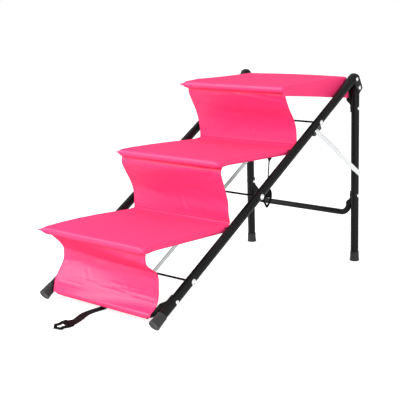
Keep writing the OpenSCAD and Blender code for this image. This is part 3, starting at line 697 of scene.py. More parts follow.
class StairsWashers(bpy.types.Operator):
    """Makes the push-on caps of the cross rods: a ringed washer with a small dome and a bent tongue"""
    bl_idname = "stairs.washers"
    bl_label = "Rod caps"

    def execute(self, context):
        profile = [(0, 1.75), (1.1, 1.68), (2.1, 1.35), (2.7, 0.75), (3.0, 0.3), (3.5, 0.28), (3.9, 0.85), (4.5, 1.1),
                   (5.3, 1.0), (6.0, 0.55), (6.7, 0.45), (7.0, 0.2), (7.0, -0.4), (6.6, -1.9), (0, -1.9)]
        tongue = [(0, 0), (0.55, 0), (0.6, 1.6), (0.35, 2.1), (0, 2.15)]
        cap = joined("rod_cap_shape", [
            turned("rod_cap_washer", profile, Vector(), Vector((0, 0, 1)), 40),
            turned("rod_cap_tongue", tongue, Vector((3.4 * MM, 0, 0.4 * MM)), Vector((-0.55, 0.5, 0.35)), 10)])
        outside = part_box("rod_washers")[1].x - 2.15 * MM     # where the shape's own origin goes
        verts, ways = [], []
        for n in (1, 2, 3):
            a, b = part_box(f"cross_rod_{n}")
            for sign in (-1, 1):
                verts.append((sign * outside, (a.y + b.y) / 2, (a.z + b.z) / 2))
                ways += (sign, 0, 0)
        mesh = bpy.data.meshes.new("rod_caps")
        mesh.from_pydata(verts, [], [])
        mesh.attributes.new("way", "FLOAT_VECTOR", "POINT").data.foreach_set("vector", ways)
        obj = grown(new_object("rod_caps", mesh), point_tree(cap), Material=need("nickel plated rivet"))
        bpy.data.objects.remove(cap)
        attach(obj, "frame")
        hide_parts("rod_washers")
        return {"FINISHED"}


def slab(name, outline, low, high):
    """A plate of that outline in the side view, from one x to another."""
    n = len(outline)
    verts = [Vector((x, y, z)) for x in (low, high) for y, z in outline]
    faces = [tuple(range(n)), tuple(range(2 * n - 1, n - 1, -1))]
    faces += [(i, (i + 1) % n, n + (i + 1) % n, n + i) for i in range(n)]
    mesh = bpy.data.meshes.new(name)
    mesh.from_pydata([tuple(v) for v in verts], [], faces)
    obj = new_object(name, mesh)
    fix_normals(obj)
    return obj


def hull_outline(circles, steps=24):
    """Outline round several circles (y, z, radius)."""
    points = [(y + r * math.cos(a), z + r * math.sin(a)) for y, z, r in circles
              for a in np.linspace(0, 2 * math.pi, steps, endpoint=False)]
    points = sorted(set(points))
    halves = []
    for run in (points, points[::-1]):
        half = []
        for p in run:
            while len(half) > 1 and (half[-1][0] - half[-2][0]) * (p[1] - half[-2][1]) \
                    - (half[-1][1] - half[-2][1]) * (p[0] - half[-2][0]) <= 0:
                half.pop()
            half.append(p)
        halves += half[:-1]
    return halves


class StairsHingeCaps(bpy.types.Operator):
    """Makes the moulded caps over the rails' top ends, with cheeks that hold the legs"""
    bl_idname = "stairs.hinge_caps"
    bl_label = "Hinge caps"

    def execute(self, context):
        rail = LEG_HINGE + ACROSS * 27.6 * MM            # where the hinge line crosses the rail's axis
        crown = rail + ALONG * 3 * MM
        ball = 14                                        # radius of the round end in mm
        sleeve = [(0, -25), (11.25, -25), (11.9, -23), (13.1, -13), (13.9, -4), (ball, 3)]
        sleeve += [(ball * math.cos(a), 3 + ball * math.sin(a)) for a in np.linspace(0.2, math.pi / 2 - 0.1, 7)]
        sleeve.append((0, 3 + ball))
        dome = [(ball * math.cos(a), ball * math.sin(a)) for a in np.linspace(-math.pi / 2 + 0.15, 0, 8)]
        dome = [(0, -ball)] + dome + [(13.9, 4), (13.3, 7.5), (12.2, 10.5), (10.4, 12.8), (8, 13.95), (0, 13.95)]
        # the cheeks' three lower corners: rounds beside the hinge, from it in mm
        corners = ((11.4, -1, 3.6), (-1.6, -12.2, 3.6), (-18.5, 8.5, 4))
        lower = [(LEG_HINGE.y + y * MM, LEG_HINGE.z + z * MM, r * MM) for y, z, r in corners]
        outer = hull_outline([(crown.y, crown.z, 10.8 * MM)] + lower)
        inner = hull_outline([(crown.y, crown.z, 6 * MM)] + lower)
        for side, sign in (("left", -1), ("right", 1)):
            middle = Vector((sign * RAIL_X, 0, 0))
            parts = [turned("cap_sleeve", sleeve, middle + rail, ALONG, 48),
                     turned("cap_crown", dome, middle + crown, Vector((sign, 0, 0)), 48)]
            for outline, low, high in ((outer, 11.05, 13.95), (inner, -13.95, -11.05)):
                ends = sorted((middle.x + sign * low * MM, middle.x + sign * high * MM))
                parts.append(slab("cap_cheek", outline, *ends))
            obj = joined(f"moulded_cap_{side}", parts)
            shell = obj.modifiers.new("Shell", "REMESH")
            shell.mode, shell.voxel_size, shell.use_smooth_shade = "VOXEL", 0.6 * MM, True
            settled(obj)
            ease = obj.modifiers.new("Mould radii", "SMOOTH")
            ease.factor, ease.iterations = 0.5, 9
            settled(obj)
            obj.data.shade_smooth()
            painted(obj, need("moulded nylon"))
            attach(obj, "frame")
            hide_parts(f"hinge_cap_{side}")
        return {"FINISHED"}


def bar_neck(name, origin, along, square):
    """The drawn-in neck between a cross bar's round end and its flat saddle: both ends of one bar."""
    bend, neck = 26 * MM, 20 * MM            # from the bar's own axis to the neck, and the neck's length
    early, late = 2.5 * MM, 4.8 * MM         # it starts inside the round end, and stays round at first
    tube, inset = 8.1 * MM, 19.3 * MM        # the round end's radius, and its axis beside the rail's
    saddle, half_wall = 12.6, 1.25           # the flat end's radius round the rail, in mm, and half its wall
    steps, around = 15, 40
    verts, faces = [], []
    for sign in (-1, 1):
        first = len(verts)
        for i in range(steps):
            run = bend - early + (neck + early) * i / (steps - 1)
            t = smooth((run - bend - late) / (neck - late))
            for k in range(around):
                a = 2 * math.pi * k / around
                h = tube * math.sin(a)
                round_x = RAIL_X - inset - tube * math.cos(a)
                shell = (saddle + half_wall * max(-1.0, min(1.0, math.cos(a) * 3))) * MM
                flat_x = RAIL_X - math.sqrt(max(0.0, shell * shell - h * h))
                verts.append(origin + Vector((sign * lerp(round_x, flat_x, t), 0, 0)) + along * run + square * h)
        faces += [tuple(first + q for q in face) for face in grid_faces(steps, around, close=True)]
        faces.append(tuple(first + k for k in range(around)))
        faces.append(tuple(first + (steps - 1) * around + k for k in range(around)))
    obj = mesh_object(name, verts, faces)
    fix_normals(obj)
    return painted(obj, need("powder coated steel"))


class StairsBarNecks(bpy.types.Operator):
    """Makes the drawn-in necks of the three cross bars, and the broad lower links of the stays"""
    bl_idname = "stairs.bar_necks"
    bl_label = "Bar necks and stays"

    def execute(self, context):
        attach(bar_neck("front_bar_necks", FRONT_BAR, ALONG, ACROSS), "frame")
        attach(bar_neck("upper_bar_necks", LEG_HINGE - LEG_UP * 3 * MM, -LEG_UP, LEG_SQUARE), "legs")
        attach(bar_neck("lower_bar_necks", LEG_HINGE - LEG_UP * 351 * MM, LEG_UP, LEG_SQUARE), "legs")
        middle = JOINTS["stay_middle_pivot"]
        run = (middle - JOINTS["stay_upper_pivot"]).normalized()
        over = Vector((0, -run.z, run.y))

        def broader(work):
            """The frame's link, merged and made broader across its run."""
            bmesh.ops.remove_doubles(work, verts=work.verts, dist=0.01 * MM)
            for v in work.verts:
                v.co += over * (v.co - middle).dot(over) * 0.34      # from 10 to 13.4 mm wide

        for side in ("left", "right"):
            obj = new_object(f"stay_link_{side}", frame["nodes"][f"stay_lower_{side}"].data.copy())
            mended(obj.data, broader)
            softened(obj, 0.35 * MM)
            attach(obj, "stay_lower")
            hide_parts(f"stay_lower_{side}")
        return {"FINISHED"}


# ---------------------------------------------------------------- straps

FRONT_ROUTE = [  # middle of the front strap, from the bar's sleeve down, and along the floor
    (-21, -376.6, 23), (-21, -370.6, 16), (-21.2, -364.8, 10), (-21.6, -361.8, 5.4), (-22.2, -364.6, 2.2),
    (-22.8, -373, 1.1), (-23, -386, 1.1), (-22.8, -398, 1.1), (-22, -410, 1.1), (-20, -422, 1.1),
    (-15.4, -435, 1.2), (-9, -448, 1.3), (-2, -461, 1.7), (4.2, -474, 2.5), (9.2, -487, 4),
    (12.8, -499, 5.2), (14, -507, 5.5)]
REAR_ROUTE = [  # middle of the rear strap, from its seam under the hem, then hanging
    (107, 82, 331), (107, 92, 331), (107, 99, 330.4), (107, 102, 327), (106.8, 102.6, 321), (106.6, 102.6, 312),
    (106.2, 102.4, 300), (105.8, 102, 288), (105.4, 101.6, 276), (105, 101.4, 264), (104.6, 101.6, 252),
    (104.2, 102, 240), (104, 102.4, 228), (103.7, 102.6, 214)]


def webbing(name, route, width, thickness, faces_way):
    """A flat band along route: (piece, path, length). faces_way gives the flat side's direction for a
    share of the length."""
    line = by_length(rounded_line([Vector(p) * MM for p in route], 8), 90)
    face = [(-1, -0.7), (-0.96, -1), (-0.5, -1), (0, -1), (0.5, -1), (0.96, -1), (1, -0.7)]
    section = face + [(-a, -b) for a, b in face]
    verts, uvs = [], []
    run = 0.0
    for i, p in enumerate(line):
        ahead = (line[min(i + 1, len(line) - 1)] - line[max(i - 1, 0)]).normalized()
        if i:
            run += (p - line[i - 1]).length
        side = ahead.cross(faces_way(i / (len(line) - 1))).normalized()
        up = side.cross(ahead).normalized()
        for a, b in section:
            verts.append(p + side * (a * width / 2) + up * (b * thickness / 2))
            uvs.append((a * width / 2, run))
    n = len(section)
    faces = grid_faces(len(line), n, close=True)
    faces.append(tuple(range(n - 1, -1, -1)))
    faces.append(tuple(range((len(line) - 1) * n, len(line) * n)))
    obj = mesh_object(name, verts, faces, uvs)
    fix_normals(obj)
    return obj, [list(p) for p in line], run


def strap_end(name, place, width, patch, loop, tip, tape):
    """The doubled, box-stitched patch and the loop of narrow tape beyond it, drawn flat to -y with the
    patch's top at the middle, and then carried by place. patch and loop are lengths, tip is the loop's
    width at its far end, and tape its band's width."""
    r = width / 2
    far = patch + loop
    bow = rounded_line([(r * 0.94, -patch, 0), (r * 0.8, -patch - loop * 0.35, 0), (tip / 2, -far + tip * 0.55, 0),
                        (0, -far, 0)], 7)
    outer = [(p.x, p.y) for p in bow]
    outer += [(-x, y) for x, y in reversed(outer[:-1])]
    inner = []
    for i, (x, y) in enumerate(outer):
        a, b = outer[max(i - 1, 0)], outer[min(i + 1, len(outer) - 1)]
        d = math.hypot(b[0] - a[0], b[1] - a[1]) or 1
        inner.append((x - (a[1] - b[1]) / d * tape, min(y + (b[0] - a[0]) / d * -tape, -patch)))
    mesh = bpy.data.meshes.new(name)
    work = bmesh.new()
    uv = work.loops.layers.uv.new("UVMap")
    out_v, in_v, top = ([work.verts.new((x, y, 0)) for x, y in line]
                        for line in (outer, inner, ((-r, 0), (-r, -patch), (r, -patch), (r, 0))))
    for i in range(len(outer) - 1):
        work.faces.new((out_v[i], out_v[i + 1], in_v[i + 1], in_v[i]))
    work.faces.new((top[0], top[1], out_v[-1], in_v[-1], in_v[0], out_v[0], top[2], top[3]))
    bmesh.ops.remove_doubles(work, verts=work.verts, dist=0.01 * MM)
    for face in work.faces:
        for corner in face.loops:
            corner[uv].uv = (corner.vert.co.x, corner.vert.co.y)
    work.to_mesh(mesh)
    work.free()
    obj = new_object(name, mesh)
    fix_normals(obj)
    solid = obj.modifiers.new("Thickness", "SOLIDIFY")
    solid.thickness, solid.offset = 2.3 * MM, 0
    softened(obj, 0.5 * MM)
    obj.data.transform(place)
    obj.data.shade_smooth()
    return obj


def front_way(t):
    """The front strap climbs behind the riser, lies flat on the floor, and tilts towards its loop."""
    climb = smooth((0.178 - t) / 0.09)
    tilt = smooth((t - 0.76) / 0.22)
    return Vector((-0.325 * tilt, -0.01 * tilt, -1)) * (1 - climb) + Vector((0, 0.84, 0.54)) * climb


def rear_way(t):
    """The rear strap is flat under the hem, then square to y, and twists slowly as it hangs."""
    hang = smooth((t - 0.1) / 0.12)
    twist = math.radians(49) * smooth((t - 0.16) / 0.16) - math.radians(88) * smooth((t - 0.7) / 0.3)
    flat = Vector((math.sin(twist), math.cos(twist), 0))
    return Vector((0, 0, -1)) * (1 - hang) + flat * -hang


class StairsStraps(bpy.types.Operator):
    """Makes the two webbing straps with their sewn loops"""
    bl_idname = "stairs.straps"
    bl_label = "Straps"

    def execute(self, context):
        s = context.scene.stairs_straps
        place = (Matrix.Translation((13.8 * MM, -500 * MM, 5.7 * MM)) @ Matrix.Rotation(math.radians(2), 4, "Z")
                 @ Matrix.Rotation(math.radians(18), 4, "Y"))
        self.strap("front", "frame", FRONT_ROUTE, front_way, "loose", place, (27, 17, 33, 25, 7.4), s)
        place = (Matrix.Translation((103.2 * MM, 100.4 * MM, 226 * MM)) @ Matrix.Rotation(math.radians(39), 4, "Z")
                 @ Matrix.Rotation(math.radians(90), 4, "X"))
        self.strap("rear", "tread_2", REAR_ROUTE, rear_way, "hanging", place, (25, 13, 27, 8, 5.2), s)
        return {"FINISHED"}

    def strap(self, which, body, route, faces_way, lay, place, end, s):
        """One strap. end is its sewn end's width, patch, loop, tip and tape in mm."""
        band, path, run = webbing(f"{which}_strap_webbing", route, s.width, s.thickness, faces_way)
        loop = strap_end(f"{which}_strap_end", place, *(size * MM for size in end))
        for piece in (band, loop):
            painted(piece, need("polypropylene webbing"))
            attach(piece, body)
        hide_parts(f"{which}_strap")


# ---------------------------------------------------------------- riser outlines

# Side outlines of the risers, from foot to nose: (y, z) in mm, at the right and at the left edge
RISER_SIDES = {
    1: ([(-394.7, 31.3), (-385.5, 37.3), (-376.6, 46), (-371.5, 60), (-370.1, 77.3), (-371.3, 109.9), (-381.1, 122.3),
         (-405, 140), (-411, 154.8), (-409.4, 172.9)],
        [(-398.5, 26), (-396, 38), (-390.7, 56.4), (-366.6, 92.4), (-362.8, 117), (-371.7, 136.3), (-399.5, 161.4),
         (-404, 167), (-406.7, 172.9)]),
    2: ([(-121.9, 191.2), (-128.1, 215.5), (-130.6, 241.7), (-143.6, 278.6), (-156.4, 312), (-154.4, 322),
         (-148.6, 331.6)],
        [(-119.8, 189.2), (-121.7, 228.5), (-133.2, 258.1), (-161.0, 303.2), (-162.3, 324), (-160.4, 331.6)]),
    3: ([(147.2, 349.9), (146.7, 365.3), (143.6, 391.3), (131.8, 417.7), (113.6, 441.8), (100.0, 465.2),
         (95.0, 476), (95.6, 484), (98.4, 490.4)],
        [(142.2, 348.4), (140.0, 373.7), (131.6, 404.8), (117.0, 433.3), (96.4, 467.2), (92.8, 482), (92.4, 490.4)]),
}
# Folds of each riser: ((across, up) to (across, up)) as shares of the half width and height, width, depth in mm
RISER_FOLDS = {
    1: [((-0.97, 0.62), (-0.1, 0.585), 6, 1.6), ((-0.3, 0.57), (0.97, 0.60), 6, 1.9),
        ((-0.75, 0.235), (-0.2, 0.225), 2.6, 0.7), ((-0.1, 0.20), (0.42, 0.19), 2.4, 0.8),
        ((0.30, 0.235), (0.9, 0.225), 2.6, 0.8), ((0.1, 0.29), (0.6, 0.275), 3, 0.6),
        ((-0.9, 0.17), (-0.45, 0.165), 2.6, 0.6), ((0.55, 0.155), (0.95, 0.15), 2.6, 0.7),
        ((0.33, 0.36), (0.45, 0.20), 4, 0.8), ((-0.5, 0.36), (-0.38, 0.22), 5, 0.7),
        ((-0.92, 0.9), (-0.62, 0.68), 8, 1.5), ((0.92, 0.88), (0.66, 0.7), 8, 1.4),
        ((0.9, 0.46), (0.66, 0.5), 6, 1.0), ((-0.92, 0.44), (-0.6, 0.5), 6, 1.0)],
    2: [((-0.03, 0.45), (0.05, 0.06), 3.4, 1.9), ((0.04, 0.41), (0.17, 0.14), 4, 1.4),
        ((0.2, 0.52), (0.9, 0.36), 9, 0.6), ((-0.85, 0.42), (-0.4, 0.30), 9, 0.6),
        ((-0.92, 0.92), (-0.6, 0.74), 8, 0.8), ((0.92, 0.90), (0.7, 0.74), 8, 0.7)],
    3: [((0.05, 0.62), (0.09, 0.06), 3.0, 1.5), ((0.12, 0.56), (0.15, 0.2), 5, 0.8),
        ((-0.05, 0.96), (0.9, 0.84), 4.5, 1.3), ((-0.9, 0.95), (-0.25, 0.93), 4, 0.9),
        ((-0.55, 0.55), (0.0, 0.5), 9, 0.7), ((-0.92, 0.92), (-0.6, 0.76), 8, 0.8)],
}
RISER_HALF = 160 * MM    # half of a riser's width


def riser_lines(n):
    """A riser's two side outlines as 60 points each, from foot to nose: right, left."""
    return [by_length(rounded_line([Vector((0, y, z)) * MM for y, z in side], 10), 60) for side in RISER_SIDES[n]]


def riser_point(n, right, left, u, v):
    """The cloth at share u across (-1 left, 1 right) and v up, with its folds."""
    t = (u + 1) / 2
    i = v * (len(right) - 1)
    k = min(int(i), len(right) - 2)
    r, l = right[k].lerp(right[k + 1], i - k), left[k].lerp(left[k + 1], i - k)
    p = l.lerp(r, smooth(t) * 0.5 + t * 0.5)
    p.x = u * RISER_HALF
    height = (right[-1] - right[0]).length
    # the free sides hold less tension than the middle, so the middle hangs a little further back
    free = math.sin(math.pi * min(1, max(0, v)))
    p.y += 3.0 * MM * free * (1 - u * u)
    shift = 0.0
    for a, b, width, depth in RISER_FOLDS[n]:
        line = ((a[0] * RISER_HALF, a[1] * height), (b[0] * RISER_HALF, b[1] * height))
        shift += dent(u * RISER_HALF, v * height, line, width * MM, depth * MM)
    shift += MM * free * (1.0 * noise.noise(Vector((u * 2.3, v * 2.1, n * 5.3)))
                          + 0.45 * noise.noise(Vector((u * 7, v * 6, n * 2.9))))
    p.y += shift
    return p


# ---------------------------------------------------------------- tread covers

TAIL = 40 * MM           # cloth of a lower cover behind its rear tube
TAIL_STEPS = 16
HEM_STEPS = 6
BEND_STEPS = 16
INNER = HEM_STEPS + BEND_STEPS + 1    # the first row or column of points inside an edge
TOP_HEM = 14 * MM        # the upper cover's hem under the rear of its tread
FLAP = 58 * MM           # cloth of a side flap, below its bend
# Rise of each cover's left side in mm, at equal steps of the way from nose to rear tube
SIDE_RISE = ((0.0, 3.6, 4.8, 4.6, 3.0, 1.0), (0.0, 2.0, 2.4, 2.2, 1.4, 0.4), (0.0, 3.6, 1.4, -0.6, -1.6, -1.0))
# Lower edge of the side flaps by the flap's side: (y, z) in mm. The left one is cut back at the nose
FLAP_EDGE = {1: ((77, 479), (96, 478), (226, 469), (361, 457.6), (375, 457)),
             -1: ((77, 486), (92, 484), (125, 475.5), (226, 469), (361, 457.6), (375, 457))}


def folded_axis(low, high, r, drop, hem, steps, rear=None):
    """Cloth coordinates across a tread: the hem, the bend round the low edge, and the flat. rear is the
    high edge's own (drop, hem), where the cloth is turned under there too."""
    fine = 10 * MM                                        # the steps are finer this close to an edge
    turn = math.pi * r + drop
    legs = [(low - turn, HEM_STEPS), (low, BEND_STEPS), (low + fine, 3), (high - fine, steps), (high, 3)]
    if rear:
        end = high + (math.pi * r + rear[0])
        legs += [(end, BEND_STEPS), (end + rear[1], HEM_STEPS)]
    return spread(low - turn - hem, *legs)


def eared(point, n, s):
    """Moves a point of tread n's cover where it is near a corner of the nose. The left corners are sewn
    flat and stand out to a point, past the frame tube's own bend. The right ones are turned under, and
    stand out less."""
    x, y, z = point
    nose = PIVOTS[n].y - DEPTH
    near = smooth(1 - (HALF_W - abs(x)) / (24 * MM)) * smooth(1 - (y - nose) / (26 * MM))
    if x < 0:
        reach, flat, level = s.ear * (1.0, 0.45, 0.85)[n], 0.84, -1 * MM
    else:
        reach, flat, level = (s.ear * 0.3, 0.3, -5 * MM) if n < 2 else (0.0, 0.0, 0.0)
    x += math.copysign(reach * near, x)
    y -= 0.8 * reach * near
    z = lerp(z, PIVOTS[n].z + level, flat * smooth(near * 1.5 - 0.3))
    return Vector((x, y, z))


def side_rise(x, y, n):
    """How far tread n's cloth stands off its frame: a little on the left side, where it has some slack."""
    t = (y - PIVOTS[n].y + DEPTH) / DEPTH
    rise = float(np.interp(t, (0.0, 0.2, 0.4, 0.6, 0.8, 1.0), SIDE_RISE[n]))
    return rise * MM * smooth((30 * MM - x) / (190 * MM))


def edge_drop(y, front, s):
    """How far the cloth falls straight between its two bends: most at the nose, half of it at the sides."""
    return s.nose_drop * (1 - 0.5 * smooth((y - front) / (40 * MM)))


def folded(out, r, drop):
    """How far forward and down the cloth is, out past the start of an edge: a bend, a fall, a bend."""
    quarter = math.pi * r / 2
    if out <= quarter:
        return r * math.sin(out / r), r * (1 - math.cos(out / r))
    if out <= quarter + drop:
        return r + 0.5 * MM * math.sin(math.pi * (out - quarter) / max(drop, 1e-6)), r + out - quarter
    g = min(math.pi, (out - drop) / r)
    return r * math.sin(g), r * (1 - math.cos(g)) + drop


def unevenness(x, y, broad, fine, seeds):
    """Slow and quick noise over a tread's top. broad and fine are (waves per metre across, along, depth)."""
    return broad[2] * noise.noise(Vector((x * broad[0], y * broad[1], seeds[0]))) \
        + fine[2] * noise.noise(Vector((x * fine[0], y * fine[1], seeds[1])))


def cover_points(n, s):
    """Grid of points of a lower tread's cover, with its cloth coordinates. Behind the rear tube the
    cloth narrows, runs on, and curves up into the foot of the next riser."""
    r, wide, hem = s.edge_radius, s.side_round, s.hem
    pivot = PIVOTS[n]
    flat_x = HALF_W - wide
    front, rear = pivot.y - DEPTH + r, pivot.y - 6 * MM      # where the nose bends, and where the tail starts
    top = pivot.z + r
    right, left = riser_lines(n + 2)
    xs = folded_axis(-flat_x, flat_x, r, s.nose_drop, hem, 43, (s.nose_drop, hem))
    ys = folded_axis(front, rear, r, s.nose_drop, hem, 35) + spread(rear, (rear + TAIL, TAIL_STEPS))[1:]
    rows, uvs = [], []
    for b in ys:
        row = []
        for a in xs:
            out_x = max(0.0, abs(a) - flat_x)
            sign = 1 if a > 0 else -1
            x, y = min(flat_x, max(-flat_x, a)), min(rear, max(front, b))
            out_y = front - b if b < front else 0.0
            if out_x > 0 and out_y > 0:
                d = math.atan2(out_x, out_y)
                ahead, down = folded(math.hypot(out_x, out_y), r, s.nose_drop)
                x += sign * wide / r * ahead * math.sin(d)
                y -= ahead * math.cos(d)
                z = top - down
            elif out_y > 0:
                ahead, down = folded(out_y, r, s.nose_drop)
                room = min(hem, flat_x - abs(x))
                y -= ahead - min(room, max(0.0, out_y - math.pi * r - s.nose_drop))
                z = top - down
            else:
                t = max(0.0, b - rear) / TAIL
                edge = min(flat_x - abs(x), y - front)
                z = top
                if t > 0:
                    foot = riser_point(n + 2, right, left, x / flat_x, 0.0)
                    y = lerp(rear, foot.y, math.sin(t * math.pi / 2))
                    z = lerp(top, foot.z, (1 - math.cos(t * math.pi / 2)) ** 1.2)
                    x = lerp(x, foot.x, smooth(t))
                # the top lies on its board, with a slow unevenness and a slight fall to its edges
                lift = 0.6 + unevenness(x, y, (9, 9, 0.9), (26, 22, 0.35), (n * 3.1, 7 + n))
                z += MM * max(0.0, lift) * smooth(edge / (45 * MM)) * (1 - t)
                if out_x > 0:
                    shut = 1 - smooth(t / 0.7)
                    drop = edge_drop(y, front, s)
                    ahead, down = folded(out_x * shut, r, drop * shut)
                    room = min(hem, max(0.0, y - front)) * shut
                    x += sign * (wide / r * ahead - min(room, max(0.0, out_x - math.pi * r - drop)))
                    z -= down
                z += side_rise(x, y, n) * (1 - smooth(t))
            row.append(eared((x, y, z), n, s))
        rows.append(row)
        uvs.append([(a, b) for a in xs])
    return rows, uvs


def cloth_piece(name, rows, uvs, out, s):
    """A sheet of cloth from its grid of points, with its thickness and its finish."""
    obj = mesh_object(name, flat_list(rows), grid_faces(len(rows), len(rows[0])), flat_list(uvs), out)
    obj.modifiers.new("Thickness", "SOLIDIFY").thickness = s.cloth
    settled(obj)
    return painted(obj, need("woven polyester"))


class StairsCovers(bpy.types.Operator):
    """Makes the cloth covers of the two lower treads, turned under on all sides"""
    bl_idname = "stairs.covers"
    bl_label = "Lower tread covers"

    def execute(self, context):
        s = cloth_settings()
        under = Vector((0, 0, -PROUD))
        for n in (0, 1):
            pivot = PIVOTS[n]
            rows, uvs = cover_points(n, s)
            obj = cloth_piece(f"cover_{n + 1}", rows, uvs, lambda c, level=pivot.z: Vector((0, 0, c.z - level)), s)
            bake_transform(obj)
            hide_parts(f"tread_cover_{n + 1}")
            lines = [[row[k] + under for row in rows[INNER:-TAIL_STEPS - 2]] for k in (1, -2)]
            lines.append([p + under for p in rows[1][INNER + 1:-INNER - 1]])
            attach(stitched(f"cover_stitches_{n + 1}", lines, s), f"tread_{n + 1}")
        return {"FINISHED"}


def top_height(y, x, s):
    """Top face of the upper tread's cloth: level at the nose, rising to the hinge caps."""
    pivot = PIVOTS[2]
    nose, rear = pivot.y - DEPTH, pivot.y + 8 * MM
    t = (y - nose) / (rear - nose)
    bow = 1.6 * MM * smooth((t - 0.4) / 0.6) * (1 - (x / HALF_W) ** 2)
    return pivot.z + s.edge_radius + s.rear_rise * (0.35 * t + 0.65 * smooth(t)) + bow


def top_cover_points(s):
    """Grid of points of the upper tread's cover, with its cloth coordinates. It is turned under at the
    nose and at the rear, and its sides hang as flaps."""
    r, wide = s.edge_radius, s.side_round
    pivot = PIVOTS[2]
    flat_x = HALF_W - wide
    front, rear = pivot.y - DEPTH + r, pivot.y + 11 * MM     # the rear bend goes round the frame's rear tube
    quarter = math.pi * r / 2
    side = spread(-flat_x - quarter - FLAP, (-flat_x - quarter, 19), (-flat_x, 8))[:-1]
    xs = side + spread(-flat_x, (flat_x, 45)) + [-a for a in reversed(side)]
    ys = folded_axis(front, rear, r, s.nose_drop, s.hem, 39, (s.rear_rise, TOP_HEM))
    rows, uvs = [], []
    for b in ys:
        row = []
        way_y, drop, hem = (-1, s.nose_drop, s.hem) if b < front else (1, s.rear_rise, TOP_HEM)
        out_y = front - b if b < front else max(0.0, b - rear)
        for a in xs:
            out_x = max(0.0, abs(a) - flat_x)
            sign = 1 if a > 0 else -1
            x, y = min(flat_x, max(-flat_x, a)), min(rear, max(front, b))
            top = top_height(y, x, s)
            fall = max(0.0, out_x - quarter)
            flap_edge = float(np.interp(y / MM, *zip(*FLAP_EDGE[sign]))) * MM
            down = max(0.0, top - r - flap_edge) * fall / FLAP
            # the flap hangs a little loose: its lower half leans in and ripples slowly
            loose = smooth(down / (40 * MM))
            lean = 1.6 * MM * loose + 0.9 * MM * loose * math.sin(y * 46 + sign)
            if out_y > 0:
                turn = min(out_x, quarter)
                d = math.atan2(turn, min(out_y, quarter))
                out = out_y if turn == 0 else min(quarter, math.hypot(turn, out_y)) + max(0.0, out_y - quarter)
                ahead, deep = folded(out, r, drop)
                if fall > 0 and r + down > deep:
                    ahead, deep = r, r + down
                x += sign * (wide / r * ahead * math.sin(d) - lean)
                room = min(hem, flat_x - abs(x)) if turn == 0 else 0.0
                y += way_y * (ahead * math.cos(d) - min(max(room, 0.0), max(0.0, out_y - math.pi * r - drop)))
                z = top - deep
            elif out_x > 0:
                ahead, deep = folded(min(out_x, quarter), r, 0.0)
                x += sign * (wide / r * ahead - lean)
                z = top - deep - down
            else:
                edge = min(flat_x - abs(x), y - front, rear - y)
                lift = unevenness(x, y, (8, 8, 1.1), (24, 20, 0.4), (31.0, 5.0))
                z = top + MM * lift * smooth(edge / (40 * MM)) - 0.5 * MM * smooth(edge / (18 * MM))
            # at its rear end the flap reaches back to the bar between the legs
            y += 12 * MM * smooth(down / (16 * MM)) * smooth((y - pivot.y + 60 * MM) / (60 * MM))
            z += side_rise(x, y, 2)
            row.append(eared((x, y, z), 2, s))
        rows.append(row)
        uvs.append([(a, b) for a in xs])
    return rows, uvs


class StairsTopCover(bpy.types.Operator):
    """Makes the upper tread's cover: it rises to the hinge caps, and its sides hang as flaps"""
    bl_idname = "stairs.top_cover"
    bl_label = "Upper tread cover"

    def execute(self, context):
        s = cloth_settings()
        rows, uvs = top_cover_points(s)

        def outwards(c):
            """Up or down over the tread, and sideways on a flap."""
            return Vector((0, 0, c.z - PIVOTS[2].z)) if abs(c.x) < HALF_W - 8 * MM else Vector((c.x, 0, 0))

        obj = cloth_piece("cover_3", rows, uvs, outwards, s)
        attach(obj, "tread_3")
        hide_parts("tread_cover_3", "top_gusset_left", "top_gusset_right")
        lines = [[row[k] + Vector((sign * PROUD, 0, 0)) for row in rows[INNER:-INNER]]
                 for k, sign in ((2, -1), (-3, 1))]
        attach(stitched("cover_stitches_3", lines, s), "tread_3")
        return {"FINISHED"}


# ---------------------------------------------------------------- risers

def bar_sleeve(shares):
    """Rows of riser 1's lower hem, a sleeve round the front cross bar: up behind it first, then under it.
    shares are the places across, from -1 to 1."""
    ring, steps = 8.9 * MM, 22
    behind, leaves_left, leaves_right = 60, -194.4, -237.1      # where it starts and ends, in degrees
    open_side = math.radians(-165)       # beside the bar's necks the sleeve is cut away up to here
    cut, fade = 138 * MM, 14 * MM        # from this far out, over this length
    rows, uvs = [], []
    for k in range(steps):
        row = []
        for u in shares:
            x = u * RISER_HALF
            # it leaves the bar where the cloth above is tangent to it, further round at the right
            a = math.radians(lerp(behind, lerp(leaves_left, leaves_right, (u + 1) / 2), k / (steps - 1)))
            keep = 1 - smooth((abs(x) - cut) / fade)
            turn = lerp(open_side, a, keep) if a > open_side else a
            row.append(Vector((x, FRONT_BAR.y + ring * math.cos(turn), FRONT_BAR.z + ring * math.sin(turn))))
        rows.append(row)
        uvs.append([(u * RISER_HALF, (k - steps) * 2 * MM) for u in shares])
    return rows, uvs


